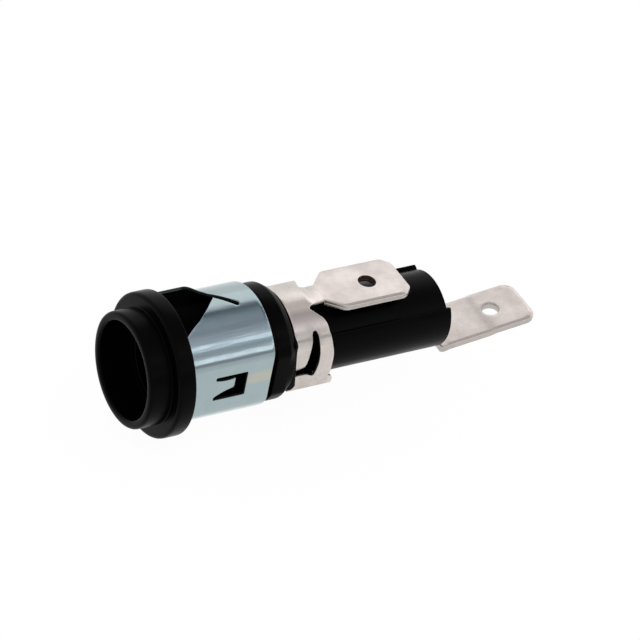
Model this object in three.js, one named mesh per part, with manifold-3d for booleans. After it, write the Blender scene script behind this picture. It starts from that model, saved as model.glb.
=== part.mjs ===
// Panel-mounting cartridge fuse holder for 5 x 20 mm fuses, shown without its cap.
// Lengths are in millimetres. X runs along the holder from its open mouth to the rear blade, Z points out
// of the side blade's face, and the origin lies on the axis, where the flange's rear face rests on the panel.
import * as THREE from "three";
import { mergeVertices } from "three/addons/utils/BufferGeometryUtils.js";
import Module from "manifold-3d";

const wasm = await Module();
wasm.setup();

// How finely round shapes are cut.
const roundSides = 72;
const arcSteps = 24;
const flatSteps = 4;
const filletSteps = 4;

// How far a cut runs past the wall it opens, and how deep one solid is sunk into the next where they join.
const overrun = 1;
const joinDepth = 0.1;

// Moulded body, outside. Radii and flats follow the front barrel's seat for the sleeve.
const seatRadius = 6.4;
const drop = { collar: -0.05, shoulder: 0.25, waist: 1.3, mouth: 1, capBore: 0.85, sleeveBore: 1.25 };
const flat_shares = { seat: 0.847, collar: 0.93, shoulder: 0.836, waist: 0.6875 };
const seat = { radius: seatRadius, flat: seatRadius * flat_shares.seat };
const nose = { radius: seatRadius, length: 2.6, rimRound: 0.42 };
const flange = { radius: 7.95, thickness: 2.05, frontRound: 0.4, rearRound: 0.15, rimWidth: 1 };
const collar = {
  radius: seatRadius - drop.collar,
  flat: seatRadius * flat_shares.collar,
  length: 2.35,
  chamferLength: 0.75,
  chamferHeight: 0.5,
};
const shoulder = {
  radius: seatRadius - drop.shoulder,
  flat: seatRadius * flat_shares.shoulder,
  halfHeight: 4.2,
  length: 0.35,
};
const waist = { radius: seatRadius - drop.waist, flat: seatRadius * flat_shares.waist, length: 3.6 };
const barrel = { radius: 4.7, topHalfAngle: THREE.MathUtils.degToRad(58), length: 16.4 };
const barrelTop = { radius: 4.85, centreY: -0.25, centreZ: -1 };
const barrelFlat = { overlap: 0.1 };
const skirt = { length: 0.4, wall: 0.75, slotHalfWidth: 3.3 };

// Moulded body, inside.
const mouth = { radius: nose.radius - drop.mouth, depth: 4, edgeRound: 0.3 };
const capBore = { radius: mouth.radius - drop.capBore, wallBehind: 0.7 };
const sleeveBore = { radius: waist.radius - drop.sleeveBore, wallBehind: 0.8 };
const fuseBore = { radius: 2.95, endWall: 1 };
const cupStop = { radius: 2.7, length: 0.4, gap: 0.05 };
const lug = { height: 0.65, width: 1.8, length: 1.2, setback: 2.6 };

// Spring steel sleeve round the front barrel.
const clip = { thickness: 0.35, length: 10, gap: 0.1, frontGap: 0.3, rearGap: 0.45 };
const wing = { step: 0.55, frontLength: 4.1, rampLength: 0.9 };
const wingRamp_shares = [0, 0.08, 0.5, 0.92, 1];
const pocket = { depth: 1, margin: 0.4 };
const notchNearEdge = [[5.5, 1.19], [5.25, 0.75], [3.8, -0.7], [2.4, -1.87], [1.4, -2.47], [0, -3.45]];
const notchFarEdge = [[0, 5.25], [4.1, 5.1]];
const slit = { length: 3.1, width: 0.28 };
const wingBlendAngles = [12, 22].map((angle) => THREE.MathUtils.degToRad(angle));
const window = { setback: 3.17, length: 3.78, halfHeight: 1.52 };
const tongue = { length: 2.75, tipHalfHeight: 0.65, dip: 0.5, pocketDepth: 0.6, pocketMargin: 0.15 };

// Sheet and blades of the two terminals.
const sheet = { thickness: 0.4 };
const blade = { width: 6.35, thickness: 0.8, chamferLength: 1, chamferWidth: 1 };
const bladeEye = { radius: 0.95, setback: 4.3 };

// Side terminal: band round the waist, neck, blade over the rear barrel, contact finger.
const band = { gap: 0.05, frontGap: 0.4, length: 4.5, seamHalfWidth: 1.2 };
const neck = { farWidth: 1.2, nearWidth: 1.45, rootWidth: 1.75, rootOffset: 0.4, length: 1.8, flare: 2 };
const neckDrop = { length: 0.6, nearWidth: 1.6 };
const sideBlade = { length: 8.4, height: 5.25 };
const reliefSetback = 1.8;
const reliefEdge = [[0, -2.1], [0.72, -2.8], [1.11, -3.09], [1.44, -3.52], [1.55, -3.96], [1.56, -4.3]];
const farReliefEdge = [[1.6, 4.3], [1.45, 3.6], [1.15, 3], [0.75, 2.2], [0.4, 1.3]];
const flankEdge = [[1.56, 3.3], [1.82, 2.5], [2.19, 1.37], [2.48, -0.27], [2.46, -1.58], [2.41, -2.18]];
const earEdge = [[2.23, -2.62], [2.63, -2.75], [2.81, -3.1], [2.81, -3.4], [2.64, -3.7]];
const finger = { rootHeight: 2.5, tipHeight: -1.45, dip: 0.45, width: 2.4, clearance: 0.15 };
const slotFrontEdge = [[2.09, 2.5], [2.18, 1.34], [2.21, -0.05], [2.01, -1.05], [1.59, -1.29], [0.68, -1.41]];
const slotArmEdge = [[0.76, -1.81], [1.98, -1.74]];
const slotRearEdge = [[2.84, -2.16], [3.13, -2.03], [3.42, -0.7], [3.32, 1.06], [2.96, 2.54]];
const slotTop = { front: 2.2, rear: 2.75, height: 3.55 };

// Rear terminal: foot on the rear wall, bent into a tilted blade.
const foot = { gap: 0.05, halfWidth: 1.9, topHeight: 2.2, eyeDrop: 2, setback: 0.2 };
const bend = { radius: 0.5, halfWidth: 1.5 };
const bendMiddle_share = 0.3;
const rearBlade = { tilt: THREE.MathUtils.degToRad(6.8), rootHeight: -3.92, length: 12.45, joggle: 0.12 };
const joggle = { setback: 5.2, length: 0.7 };

// Spring contact inside the rear barrel.
const rivet = { shankRadius: 1.1, headRadius: 2.1, headThickness: 0.5, gap: 0.05 };
const rivetDome = { radius: 1.8, height: 0.55 };
const rivetDome_shares = { middle: 0.9, top: 0.5 };
const cup = { radius: 2.88, faceThickness: 0.6, wall: 0.35, depth: 1.8, dish: 0.15, dishRadius: 2.1 };
const spring = { wireDiameter: 0.5, meanRadius: 1.85, turns: 5, length: 5.5, seatGap: 0.1 };
const springCut = { stepsPerTurn: 8, sides: 5 };

// Places along X, each worked out from the sizes in front of it.
const flangeFront = -flange.thickness;
const mouthFace = flangeFront - nose.length;
const mouthFloor = mouthFace + mouth.depth;
const clipFront = clip.frontGap;
const clipRear = clipFront + clip.length;
const collarFront = clipRear + clip.rearGap;
const waistFront = collarFront + collar.length;
const barrelFront = waistFront + waist.length;
const rearWall = barrelFront + barrel.length;
const capBoreFloor = waistFront - capBore.wallBehind;
const sleeveBoreFloor = barrelFront - sleeveBore.wallBehind;
const fuseBoreFloor = rearWall - fuseBore.endWall;
const springEnd = fuseBoreFloor - rivet.gap - rivet.headThickness - spring.seatGap;
const springStart = springEnd - spring.length;
const cupFace = springStart - spring.seatGap - cup.faceThickness;

// Sections of the sleeve and of the band, which follow what they wrap.
const clipOuter = {
  radius: seat.radius + clip.gap + clip.thickness,
  flat: seat.flat + clip.gap + clip.thickness,
};
const clipInner = { radius: seat.radius + clip.gap, flat: seat.flat + clip.gap };
const bandOuter = {
  radius: waist.radius + band.gap + sheet.thickness,
  flat: waist.flat + band.gap + sheet.thickness,
};
const bandInner = { radius: waist.radius + band.gap, flat: waist.flat + band.gap };

const axisX = new THREE.Vector3(1, 0, 0);
const axisY = new THREE.Vector3(0, 1, 0);
const axisZ = new THREE.Vector3(0, 0, 1);

// A closed geometry as a solid with its faces out.
function solidOf(geometry) {
  geometry.deleteAttribute("normal");
  geometry.deleteAttribute("uv");
  const merged = mergeVertices(geometry, 1e-5);
  const vertProperties = new Float32Array(merged.attributes.position.array);
  const triVerts = new Uint32Array(merged.index.array);
  const made = new wasm.Manifold(new wasm.Mesh({ numProp: 3, vertProperties, triVerts }));
  if (made.volume() > 0) return made;
  return new wasm.Manifold(new wasm.Mesh({ numProp: 3, vertProperties, triVerts: triVerts.reverse() }));
}

// A solid as a named mesh in its own finish.
function meshOf(name, solid, material) {
  const { numProp, vertProperties, triVerts } = solid.getMesh();
  const count = vertProperties.length / numProp;
  const positions = new Float32Array(count * 3);
  for (let i = 0; i < count; i++) {
    positions.set(vertProperties.subarray(i * numProp, i * numProp + 3), i * 3);
  }
  const geometry = new THREE.BufferGeometry();
  geometry.setAttribute("position", new THREE.BufferAttribute(positions, 3));
  geometry.setIndex(new THREE.BufferAttribute(triVerts, 1));
  geometry.computeVertexNormals();
  const mesh = new THREE.Mesh(geometry, material);
  mesh.name = name;
  return mesh;
}

function shapeOf(points) {
  return new THREE.Shape(points.map(([u, v]) => new THREE.Vector2(u, v)));
}

function extruded(shape, depth) {
  return new THREE.ExtrudeGeometry(shape, { depth, bevelEnabled: false, curveSegments: arcSteps });
}

// A prism along X from an outline of (y, z) points.
function prismX(points, from, to) {
  const geometry = extruded(shapeOf(points), to - from);
  geometry.applyMatrix4(new THREE.Matrix4().makeBasis(axisY, axisZ, axisX));
  return solidOf(geometry.translate(from, 0, 0));
}

// A prism along Y from an outline of (x, z) points.
function prismY(points, from, to) {
  return solidOf(extruded(shapeOf(points), to - from).rotateX(Math.PI / 2).translate(0, to, 0));
}

// A prism along Z from an outline of (x, y) points.
function prismZ(points, from, to) {
  return solidOf(extruded(shapeOf(points), to - from).translate(0, 0, from));
}

// A solid turned round the X axis from (x, radius) points.
function turned(points, sides = roundSides) {
  const profile = points.map(([x, radius]) => new THREE.Vector2(radius, x));
  const geometry = new THREE.LatheGeometry([...profile, profile[0].clone()], sides);
  geometry.applyMatrix4(new THREE.Matrix4().makeBasis(axisZ, axisX, axisY));
  return solidOf(geometry);
}

function rod(radius, from, to, sides = roundSides) {
  return turned([[from, 0], [from, radius], [to, radius], [to, 0]], sides);
}

// Points of a quarter round in (x, radius), from one tangent point to the other.
function quarterRound(centreX, centreRadius, radius, fromAngle, toAngle) {
  return Array.from({ length: filletSteps + 1 }, (_, i) => {
    const angle = THREE.MathUtils.lerp(fromAngle, toAngle, i / filletSteps);
    return [centreX + radius * Math.cos(angle), centreRadius + radius * Math.sin(angle)];
  });
}

// The outline of a round bar with a flat on its near and its far side.
// It starts at the top of the far flat and runs over the top, down the near flat and back underneath.
function doubleFlat({ radius, flat }) {
  const reach = Math.acos(flat / radius);
  const half = Math.PI / 2 - reach;
  const height = radius * Math.sin(reach);
  const arc = (from, to) =>
    Array.from({ length: arcSteps }, (_, i) => {
      const angle = THREE.MathUtils.lerp(from, to, i / arcSteps);
      return [radius * Math.sin(angle), radius * Math.cos(angle)];
    });
  const side = (y, from, to) =>
    Array.from({ length: flatSteps }, (_, i) => [y, THREE.MathUtils.lerp(from, to, i / flatSteps)]);
  return [
    ...arc(half, -half),
    ...side(-flat, height, -height),
    ...arc(Math.PI + half, Math.PI - half),
    ...side(flat, -height, height),
  ];
}

// A tube along X through stations that each have an outer and an inner outline with as many points.
function loftedTube(stations) {
  const count = stations[0].outer.length;
  const positions = [];
  for (const { x, outer, inner } of stations) {
    for (const [y, z] of [...outer, ...inner]) positions.push(x, y, z);
  }
  const index = [];
  const quad = (a, b, c, d) => index.push(a, b, c, a, c, d);
  const at = (station, loop, i) => (station * 2 + loop) * count + (i % count);
  const last = stations.length - 1;
  for (let i = 0; i < count; i++) {
    for (let s = 0; s < last; s++) {
      quad(at(s, 0, i), at(s, 0, i + 1), at(s + 1, 0, i + 1), at(s + 1, 0, i));
      quad(at(s, 1, i + 1), at(s, 1, i), at(s + 1, 1, i), at(s + 1, 1, i + 1));
    }
    quad(at(0, 0, i + 1), at(0, 0, i), at(0, 1, i), at(0, 1, i + 1));
    quad(at(last, 0, i), at(last, 0, i + 1), at(last, 1, i + 1), at(last, 1, i));
  }
  const geometry = new THREE.BufferGeometry();
  geometry.setAttribute("position", new THREE.Float32BufferAttribute(positions, 3));
  geometry.setIndex(index);
  return solidOf(geometry);
}

function box(fromX, toX, fromY, toY, fromZ, toZ) {
  return prismX([[fromY, fromZ], [toY, fromZ], [toY, toZ], [fromY, toZ]], fromX, toX);
}

// Nose and the flange's core, turned in one profile with its rounded rim.
function noseAndCore() {
  const quarter = Math.PI / 2;
  const rim = nose.rimRound;
  const edge = mouth.edgeRound;
  const core = flange.radius - flange.rimWidth;
  return turned([
    [0, 0],
    [mouthFace + edge, 0],
    [mouthFace + edge, mouth.radius],
    ...quarterRound(mouthFace + edge, mouth.radius + edge, edge, -quarter, -2 * quarter),
    ...quarterRound(mouthFace + rim, nose.radius - rim, rim, 2 * quarter, quarter),
    [flangeFront, nose.radius],
    [flangeFront, core],
    [0, core],
  ]);
}

// The flange's rim, which rests on the panel outside the sleeve.
function flangeRim() {
  const quarter = Math.PI / 2;
  const { radius, frontRound, rearRound } = flange;
  const core = radius - flange.rimWidth;
  return turned([
    [flangeFront, core],
    ...quarterRound(flangeFront + frontRound, radius - frontRound, frontRound, 2 * quarter, quarter),
    ...quarterRound(-rearRound, radius - rearRound, rearRound, quarter, 0),
    [0, core],
  ]);
}

// Ring behind the clip, flat on two sides, with a bevelled rear edge and a shoulder behind each flat.
function collarRing() {
  const { radius, chamferLength, chamferHeight } = collar;
  const bevelled = turned([
    [collarFront, 0],
    [collarFront, radius],
    [waistFront - chamferLength, radius],
    [waistFront, radius - chamferHeight],
    [waistFront, 0],
  ]);
  const rear = waistFront + shoulder.length;
  const { halfHeight } = shoulder;
  const limit = box(waistFront - joinDepth, rear, -radius, radius, -halfHeight, halfHeight);
  const shoulders = prismX(doubleFlat(shoulder), waistFront - joinDepth, rear).intersect(limit);
  return prismX(doubleFlat(collar), collarFront, waistFront).intersect(bevelled).add(shoulders);
}

// Rear barrel: the upper part is drawn in to clear the side blade, and a short skirt passes the rear wall.
function rearBarrel() {
  const { radius, topHalfAngle } = barrel;
  const reach = 2 * radius;
  const from = barrelFront - joinDepth;
  const side = reach * Math.sin(topHalfAngle);
  const edge = reach * Math.cos(topHalfAngle);
  const { centreY, centreZ } = barrelTop;
  const kept = rod(barrelTop.radius, from - overrun, rearWall).translate(0, centreY, centreZ);
  const drawnIn = prismX(
    [[0, 0], [side, edge], [side, reach], [-side, reach], [-side, edge]],
    from - overrun,
    rearWall + skirt.length + overrun,
  ).subtract(kept);
  const skirtBore = rod(radius - skirt.wall, rearWall, rearWall + skirt.length + overrun);
  const skirtSlot = box(
    rearWall,
    rearWall + skirt.length + overrun,
    -skirt.slotHalfWidth,
    skirt.slotHalfWidth,
    -reach,
    0,
  );
  return rod(radius, from, rearWall + skirt.length).subtract(drawnIn).subtract(skirtBore).subtract(skirtSlot);
}

// Flats on the front of the barrel, under the rear part of the side terminal's band.
function barrelFlats() {
  const from = barrelFront - joinDepth;
  const to = neckRoot() + flankReach() + barrelFlat.overlap;
  const reach = 2 * barrel.radius;
  const side = (fromY, toY) => box(from, to, fromY, toY, -reach, reach);
  return side(waist.flat, reach).add(side(-reach, -waist.flat));
}

// Stepped bore: mouth, cap bore, carrier bore, fuse bore with the lip that stops the cup, and rivet hole.
function bore() {
  return turned([
    [mouthFace - overrun, 0],
    [mouthFace - overrun, mouth.radius],
    [mouthFloor, mouth.radius],
    [mouthFloor, capBore.radius],
    [capBoreFloor, capBore.radius],
    [capBoreFloor, sleeveBore.radius],
    [sleeveBoreFloor, sleeveBore.radius],
    [sleeveBoreFloor, fuseBore.radius],
    [cupFace - cupStop.gap - cupStop.length, fuseBore.radius],
    [cupFace - cupStop.gap - cupStop.length, cupStop.radius],
    [cupFace - cupStop.gap, cupStop.radius],
    [cupFace - cupStop.gap, fuseBore.radius],
    [fuseBoreFloor, fuseBore.radius],
    [fuseBoreFloor, rivet.shankRadius + rivet.gap],
    [rearWall + overrun, rivet.shankRadius + rivet.gap],
    [rearWall + overrun, 0],
  ]);
}

// Two lugs in the cap bore that the cap's bayonet slots turn on.
function bayonetLugs() {
  const from = mouthFloor + lug.setback;
  const inner = capBore.radius - lug.height;
  const outer = capBore.radius + lug.height;
  const upper = box(from, from + lug.length, -lug.width / 2, lug.width / 2, inner, outer);
  const lower = box(from, from + lug.length, -lug.width / 2, lug.width / 2, -outer, -inner);
  const limit = rod((capBore.radius + seat.flat) / 2, from, from + lug.length);
  return upper.add(lower).intersect(limit);
}

// Room under the notch and the far wing, so that the wing can bend in as the holder goes through the panel.
function wingPocket() {
  const { depth, margin } = pocket;
  const reach = 2 * seat.radius;
  const rear = clipFront + notchNearEdge[0][0] + margin;
  const nearEdge = notchNearEdge.map(([x, y]) => [clipFront + x, y - margin]);
  const corners = [[0, reach], [rear, reach], [rear, nearEdge[0][1]]];
  const outline = [...corners, ...nearEdge, [0, nearEdge.at(-1)[1]]];
  return prismZ(outline, -reach, reach).subtract(rod(seat.radius - depth, 0, rear));
}

// Room behind the tongue.
function tonguePocket() {
  const front = clipFront + window.setback;
  const margin = tongue.pocketMargin;
  return box(
    front - margin,
    front + window.length + margin,
    -2 * seat.flat,
    -(seat.flat - tongue.pocketDepth),
    -window.halfHeight - margin,
    window.halfHeight + margin,
  );
}

// Opening in the waist that the contact finger reaches through.
function fingerOpening() {
  const front = waistFront + band.frontGap;
  return box(
    front,
    front + slotTop.rear,
    -2 * waist.radius,
    0,
    slotArmEdge[0][1],
    finger.rootHeight,
  );
}

// Flat on top of the waist that clears the side terminal's neck as it steps down.
function neckRelief() {
  const from = neckRoot() - 2 * band.gap;
  const height = sideBlade.height - blade.thickness - band.gap;
  return box(from, barrelFront + overrun, -waist.radius, waist.radius, height, 2 * waist.radius);
}

function holderBody() {
  const outside = noseAndCore()
    .add(flangeRim())
    .add(prismX(doubleFlat(seat), -overrun, collarFront + joinDepth))
    .add(collarRing())
    .add(prismX(doubleFlat(waist), waistFront - joinDepth, barrelFront))
    .add(rearBarrel().subtract(barrelFlats()));
  return outside
    .subtract(wingPocket())
    .subtract(tonguePocket())
    .subtract(bore())
    .subtract(fingerOpening())
    .subtract(neckRelief())
    .add(bayonetLugs());
}

// How far the far wing stands out at a point of the sleeve's section.
function wingShare(y, z) {
  const [from, to] = wingBlendAngles;
  return THREE.MathUtils.smoothstep(Math.atan2(y, Math.abs(z)), from, to);
}

function steppedOut(points, step) {
  return points.map(([y, z]) => {
    const distance = Math.hypot(y, z);
    const scale = (distance + step * wingShare(y, z)) / distance;
    return [y * scale, z * scale];
  });
}

// The sleeve before it is cut: its far side steps out over the front part.
function sleeve() {
  const rampStart = clipFront + wing.frontLength;
  const ramp = wingRamp_shares.map((share) => [
    rampStart + wing.rampLength * share,
    THREE.MathUtils.smoothstep(share, 0, 1),
  ]);
  const stations = [[clipFront, 0], ...ramp, [clipRear, 1]];
  return loftedTube(
    stations.map(([x, share]) => ({
      x,
      outer: steppedOut(doubleFlat(clipOuter), wing.step * (1 - share)),
      inner: steppedOut(doubleFlat(clipInner), wing.step * (1 - share)),
    })),
  );
}

// The V notch seen from above, from its tip down the near edge and back along the far wing's edge.
function notchOutline() {
  const place = ([x, y]) => [clipFront + x, y];
  const near = notchNearEdge.map(place);
  const far = notchFarEdge.map(place);
  const front = clipFront - overrun;
  return [...near, [front, near.at(-1)[1]], [front, far[0][1]], ...far];
}

// The slit that runs on from the notch's tip, back and towards the near side.
function slitOutline() {
  const half = slit.width / 2;
  const [tipX, tipY] = notchNearEdge[0];
  const start = new THREE.Vector2(clipFront + tipX - half, tipY + half);
  const along = new THREE.Vector2(1, -1).normalize();
  const across = new THREE.Vector2(along.y, -along.x).multiplyScalar(half);
  const end = start.clone().addScaledVector(along, slit.length);
  return [
    start.clone().sub(across),
    start.clone().add(across),
    end.clone().add(across),
    end.clone().addScaledVector(along, half),
    end.clone().sub(across),
  ].map(({ x, y }) => [x, y]);
}

// The tongue, bent in from the front edge of its window.
function clipTongue() {
  const root = clipFront + window.setback;
  const rootOverlap = clip.thickness / 2;
  const tip = root + tongue.length;
  const outer = -clipOuter.flat;
  const inner = -clipInner.flat;
  const plate = prismZ(
    [
      [root - rootOverlap, outer],
      [root, outer],
      [tip, outer + tongue.dip],
      [tip, inner + tongue.dip],
      [root, inner],
      [root - rootOverlap, inner],
    ],
    -window.halfHeight,
    window.halfHeight,
  );
  const outline = [
    [root - rootOverlap, window.halfHeight],
    [root, window.halfHeight],
    [tip, tongue.tipHalfHeight],
    [tip, -tongue.tipHalfHeight],
    [root, -window.halfHeight],
    [root - rootOverlap, -window.halfHeight],
  ];
  return plate.intersect(prismY(outline, outer - overrun, 0));
}

function mountingClip() {
  const reach = 2 * clipOuter.radius;
  const front = clipFront + window.setback;
  const opening = box(front, front + window.length, -reach, 0, -window.halfHeight, window.halfHeight);
  return [notchOutline(), slitOutline()]
    .reduce((made, outline) => made.subtract(prismZ(outline, -reach, reach)), sleeve())
    .subtract(opening)
    .add(clipTongue());
}

// A blade's outline seen from above: its free end has two chamfers.
function bladeEnd(end) {
  const half = blade.width / 2;
  return [
    [end - blade.chamferLength, -half],
    [end, -half + blade.chamferWidth],
    [end, half - blade.chamferWidth],
    [end - blade.chamferLength, half],
  ];
}

function bladeHole(end, fromZ, toZ) {
  const x = end - bladeEye.setback;
  const circle = Array.from({ length: arcSteps }, (_, i) => {
    const angle = (i / arcSteps) * 2 * Math.PI;
    return [x + bladeEye.radius * Math.cos(angle), bladeEye.radius * Math.sin(angle)];
  });
  return prismZ(circle, fromZ, toZ);
}

// The J-shaped slot on the near side of the band, as (x, z) points from its mouth along its arm, up its rear
// edge and down its front edge.
function fingerSlotOutline() {
  const front = waistFront + band.frontGap;
  const place = ([x, z]) => [front + x, z];
  const open = front - overrun;
  return [
    [open, slotFrontEdge.at(-1)[1]],
    [open, slotArmEdge[0][1]],
    ...slotArmEdge.map(place),
    ...slotRearEdge.map(place),
    [front + slotTop.rear, slotTop.height],
    [front + slotTop.front, slotTop.height],
    ...slotFrontEdge.map(place),
  ];
}

// Where the neck leaves the band.
function neckRoot() {
  return waistFront + band.frontGap + band.length - reliefSetback;
}

// How far the band's near flank reaches behind the neck's root.
function flankReach() {
  return Math.max(...earEdge.map(([x]) => x), ...flankEdge.map(([x]) => x));
}

// The rear edge of the band's upper half, as (x, y) points: from the far side to the neck, then from the gap
// beside the neck down the near side.
function reliefOutline(behind) {
  const root = neckRoot();
  const { farWidth, rootOffset } = neck;
  const place = ([x, y]) => [root + x, y];
  return [
    ...farReliefEdge.map(place),
    [root + rootOffset, farWidth],
    [root + rootOffset + neckDrop.length, farWidth],
    [root + rootOffset + neckDrop.length, -neckDrop.nearWidth],
    ...reliefEdge.map(place),
    [behind, reliefEdge.at(-1)[1]],
    [behind, farReliefEdge[0][1]],
  ];
}

// The rear edge of the band's near flank with its ear, as (x, z) points.
function flankOutline(behind) {
  const root = neckRoot();
  const place = ([x, z]) => [root + x, z];
  const reach = 2 * bandOuter.radius;
  const edge = [...flankEdge, ...earEdge].map(place);
  return [[edge[0][0], reach], ...edge, [edge.at(-1)[0], -reach], [behind, -reach], [behind, reach]];
}

// The band round the waist with its finger still in line. It is open at the bottom: the far side wraps under
// the waist and the near flank runs straight down.
function terminalBand() {
  const front = waistFront + band.frontGap;
  const rear = front + band.length;
  const reach = 2 * bandOuter.radius;
  const far = bandOuter.flat - overrun;
  const behind = neckRoot() + flankReach() + overrun;
  const ring = prismX(doubleFlat(bandOuter), front, behind - overrun).subtract(
    prismX(doubleFlat(bandInner), front - overrun, behind),
  );
  const bottom = earEdge.at(-1)[1];
  const turn = finger.tipHeight - sheet.thickness;
  return ring
    .subtract(box(front - overrun, behind, -reach, band.seamHalfWidth, -reach, turn))
    .add(box(front, behind - overrun, -bandOuter.flat, -bandInner.flat, bottom, turn))
    .subtract(box(rear, behind, -far, reach, -reach, reach))
    .subtract(prismZ(reliefOutline(behind), 0, reach))
    .subtract(neckStep())
    .subtract(prismY(flankOutline(behind), -reach, -far))
    .subtract(prismY(fingerSlotOutline(), -reach, 0));
}

// The slope where the band's top steps down to the neck.
function neckStep() {
  const from = neckRoot() + neck.rootOffset;
  const to = from + neckDrop.length;
  const top = bandOuter.radius;
  const behind = to + overrun;
  return prismY(
    [[from, top], [to, sideBlade.height], [behind, sideBlade.height], [behind, 2 * top], [from, 2 * top]],
    -top,
    top,
  );
}

// The finger, bent in below its root so that it reaches through the waist's opening.
function contactFinger() {
  const front = waistFront + band.frontGap;
  const outer = -bandOuter.flat;
  const inner = -bandInner.flat;
  const { rootHeight, tipHeight, dip } = finger;
  const rootOverlap = sheet.thickness / 2;
  const plate = prismX(
    [
      [outer, rootHeight + rootOverlap],
      [outer, rootHeight],
      [outer + dip, tipHeight],
      [inner + dip, tipHeight],
      [inner, rootHeight],
      [inner, rootHeight + rootOverlap],
    ],
    front,
    front + finger.width,
  );
  return plate.subtract(prismY(fingerSlotOutline(), 2 * outer, 0));
}

// The neck, one sheet thick, from under the band's top to the blade. Its near edge runs in a slant.
function sideNeck() {
  const root = neckRoot();
  const { farWidth, nearWidth, rootWidth, rootOffset, length, flare } = neck;
  const end = root + rootOffset + length;
  return prismZ(
    [
      [root + rootOffset - sheet.thickness, -rootWidth],
      [end, -nearWidth],
      [end + flare / 2, -nearWidth],
      [end + flare / 2, farWidth],
      [root + rootOffset - sheet.thickness, farWidth],
    ],
    sideBlade.height - sheet.thickness,
    sideBlade.height,
  );
}

function sideTerminal() {
  const front = waistFront + band.frontGap;
  const flareStart = neckRoot() + neck.rootOffset + neck.length;
  const fullWidth = flareStart + neck.flare;
  const end = fullWidth + sideBlade.length;
  const half = blade.width / 2;
  const outline = [
    [flareStart, -neck.nearWidth],
    [fullWidth, -half],
    ...bladeEnd(end),
    [fullWidth, half],
    [flareStart, neck.farWidth],
  ];
  const under = sideBlade.height - blade.thickness;
  const fingerCut = box(
    front - overrun,
    front + finger.width,
    -2 * bandOuter.radius,
    0,
    finger.tipHeight - finger.clearance,
    finger.rootHeight,
  );
  return terminalBand()
    .subtract(fingerCut)
    .add(contactFinger())
    .add(sideNeck())
    .add(prismZ(outline, under, sideBlade.height))
    .subtract(bladeHole(end, under - overrun, sideBlade.height + overrun));
}

// The rear terminal seen from the side: foot, bend, lower stretch, joggle and blade.
function rearTerminalProfile() {
  const t = blade.thickness;
  const face = rearWall + foot.gap;
  const end = face + t + rearBlade.length;
  const slope = Math.tan(rearBlade.tilt);
  const topAt = (x) => rearBlade.rootHeight + slope * (x - face);
  const stepEnd = end - joggle.setback;
  const stepStart = stepEnd - joggle.length;
  const r = bend.radius;
  const middle = bendMiddle_share;
  const low = rearBlade.joggle;
  return [
    [face, foot.topHeight],
    [face, topAt(face) - low - t + r + t / 2],
    [face + (r + t / 2) * middle, topAt(face) - low - t + (r + t / 2) * middle],
    [face + r + t / 2, topAt(face + r + t / 2) - low - t],
    [stepStart, topAt(stepStart) - low - t],
    [stepEnd, topAt(stepEnd) - t],
    [end, topAt(end) - t],
    [end, topAt(end)],
    [stepEnd, topAt(stepEnd)],
    [stepStart, topAt(stepStart) - low],
    [face + t + r, topAt(face + t + r) - low],
    [face + t + r * middle, topAt(face + t + r * middle) - low + r * middle],
    [face + t, topAt(face + t) - low + r],
    [face + t, foot.topHeight],
  ];
}

function rearTerminal() {
  const half = blade.width / 2;
  const face = rearWall + foot.gap;
  const end = face + blade.thickness + rearBlade.length;
  const reach = 2 * barrel.radius;
  const strip = prismY(rearTerminalProfile(), -half, half);
  const shoulders = face + blade.thickness + foot.setback;
  const plan = prismZ([[shoulders, -half], ...bladeEnd(end), [shoulders, half]], -reach, reach);
  const bent = box(face - overrun, shoulders + overrun, -bend.halfWidth, bend.halfWidth, -reach, reach);
  const eye = box(face - overrun, shoulders + overrun, -foot.halfWidth, foot.halfWidth, -foot.eyeDrop, reach);
  const rivetHole = rod(rivet.shankRadius + rivet.gap, face - overrun, shoulders + overrun);
  return strip
    .intersect(plan.add(bent).add(eye))
    .subtract(rivetHole)
    .subtract(bladeHole(end, -reach, 0));
}

// The rivet: a flat head under the spring, a shank through wall and foot, and a domed end.
function terminalRivet() {
  const headFace = fuseBoreFloor - rivet.gap - rivet.headThickness;
  const capFace = rearWall + foot.gap + blade.thickness + rivet.gap;
  return turned([
    [headFace, 0],
    [headFace, rivet.headRadius],
    [fuseBoreFloor - rivet.gap, rivet.headRadius],
    [fuseBoreFloor - rivet.gap, rivet.shankRadius],
    [capFace, rivet.shankRadius],
    [capFace, rivetDome.radius],
    [capFace + rivetDome.height / 2, rivetDome.radius * rivetDome_shares.middle],
    [capFace + rivetDome.height, rivetDome.radius * rivetDome_shares.top],
    [capFace + rivetDome.height, 0],
  ]);
}

// The cup: a dished face for the fuse's end cap and a skirt round the spring.
function contactCup() {
  const skirtEnd = cupFace + cup.depth;
  return turned([
    [cupFace + cup.dish, 0],
    [cupFace + cup.dish, cup.dishRadius - cup.dish],
    [cupFace, cup.dishRadius],
    [cupFace, cup.radius - cup.dish],
    [cupFace + cup.dish, cup.radius],
    [skirtEnd, cup.radius],
    [skirtEnd, cup.radius - cup.wall],
    [cupFace + cup.faceThickness, cup.radius - cup.wall],
    [cupFace + cup.faceThickness, 0],
  ]);
}

// The spring's centre line: a straight end, the turns, and a straight end.
function springPath() {
  const straight = spring.wireDiameter;
  const from = springStart + straight;
  const to = springEnd - straight;
  const steps = spring.turns * springCut.stepsPerTurn;
  const turns = Array.from({ length: steps + 1 }, (_, i) => {
    const angle = (i / springCut.stepsPerTurn) * 2 * Math.PI;
    const x = THREE.MathUtils.lerp(from, to, i / steps);
    return new THREE.Vector3(x, spring.meanRadius * Math.sin(angle), spring.meanRadius * Math.cos(angle));
  });
  const first = turns[0].clone().setX(springStart);
  const last = turns[steps].clone().setX(springEnd);
  return [first, ...turns, last];
}

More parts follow.
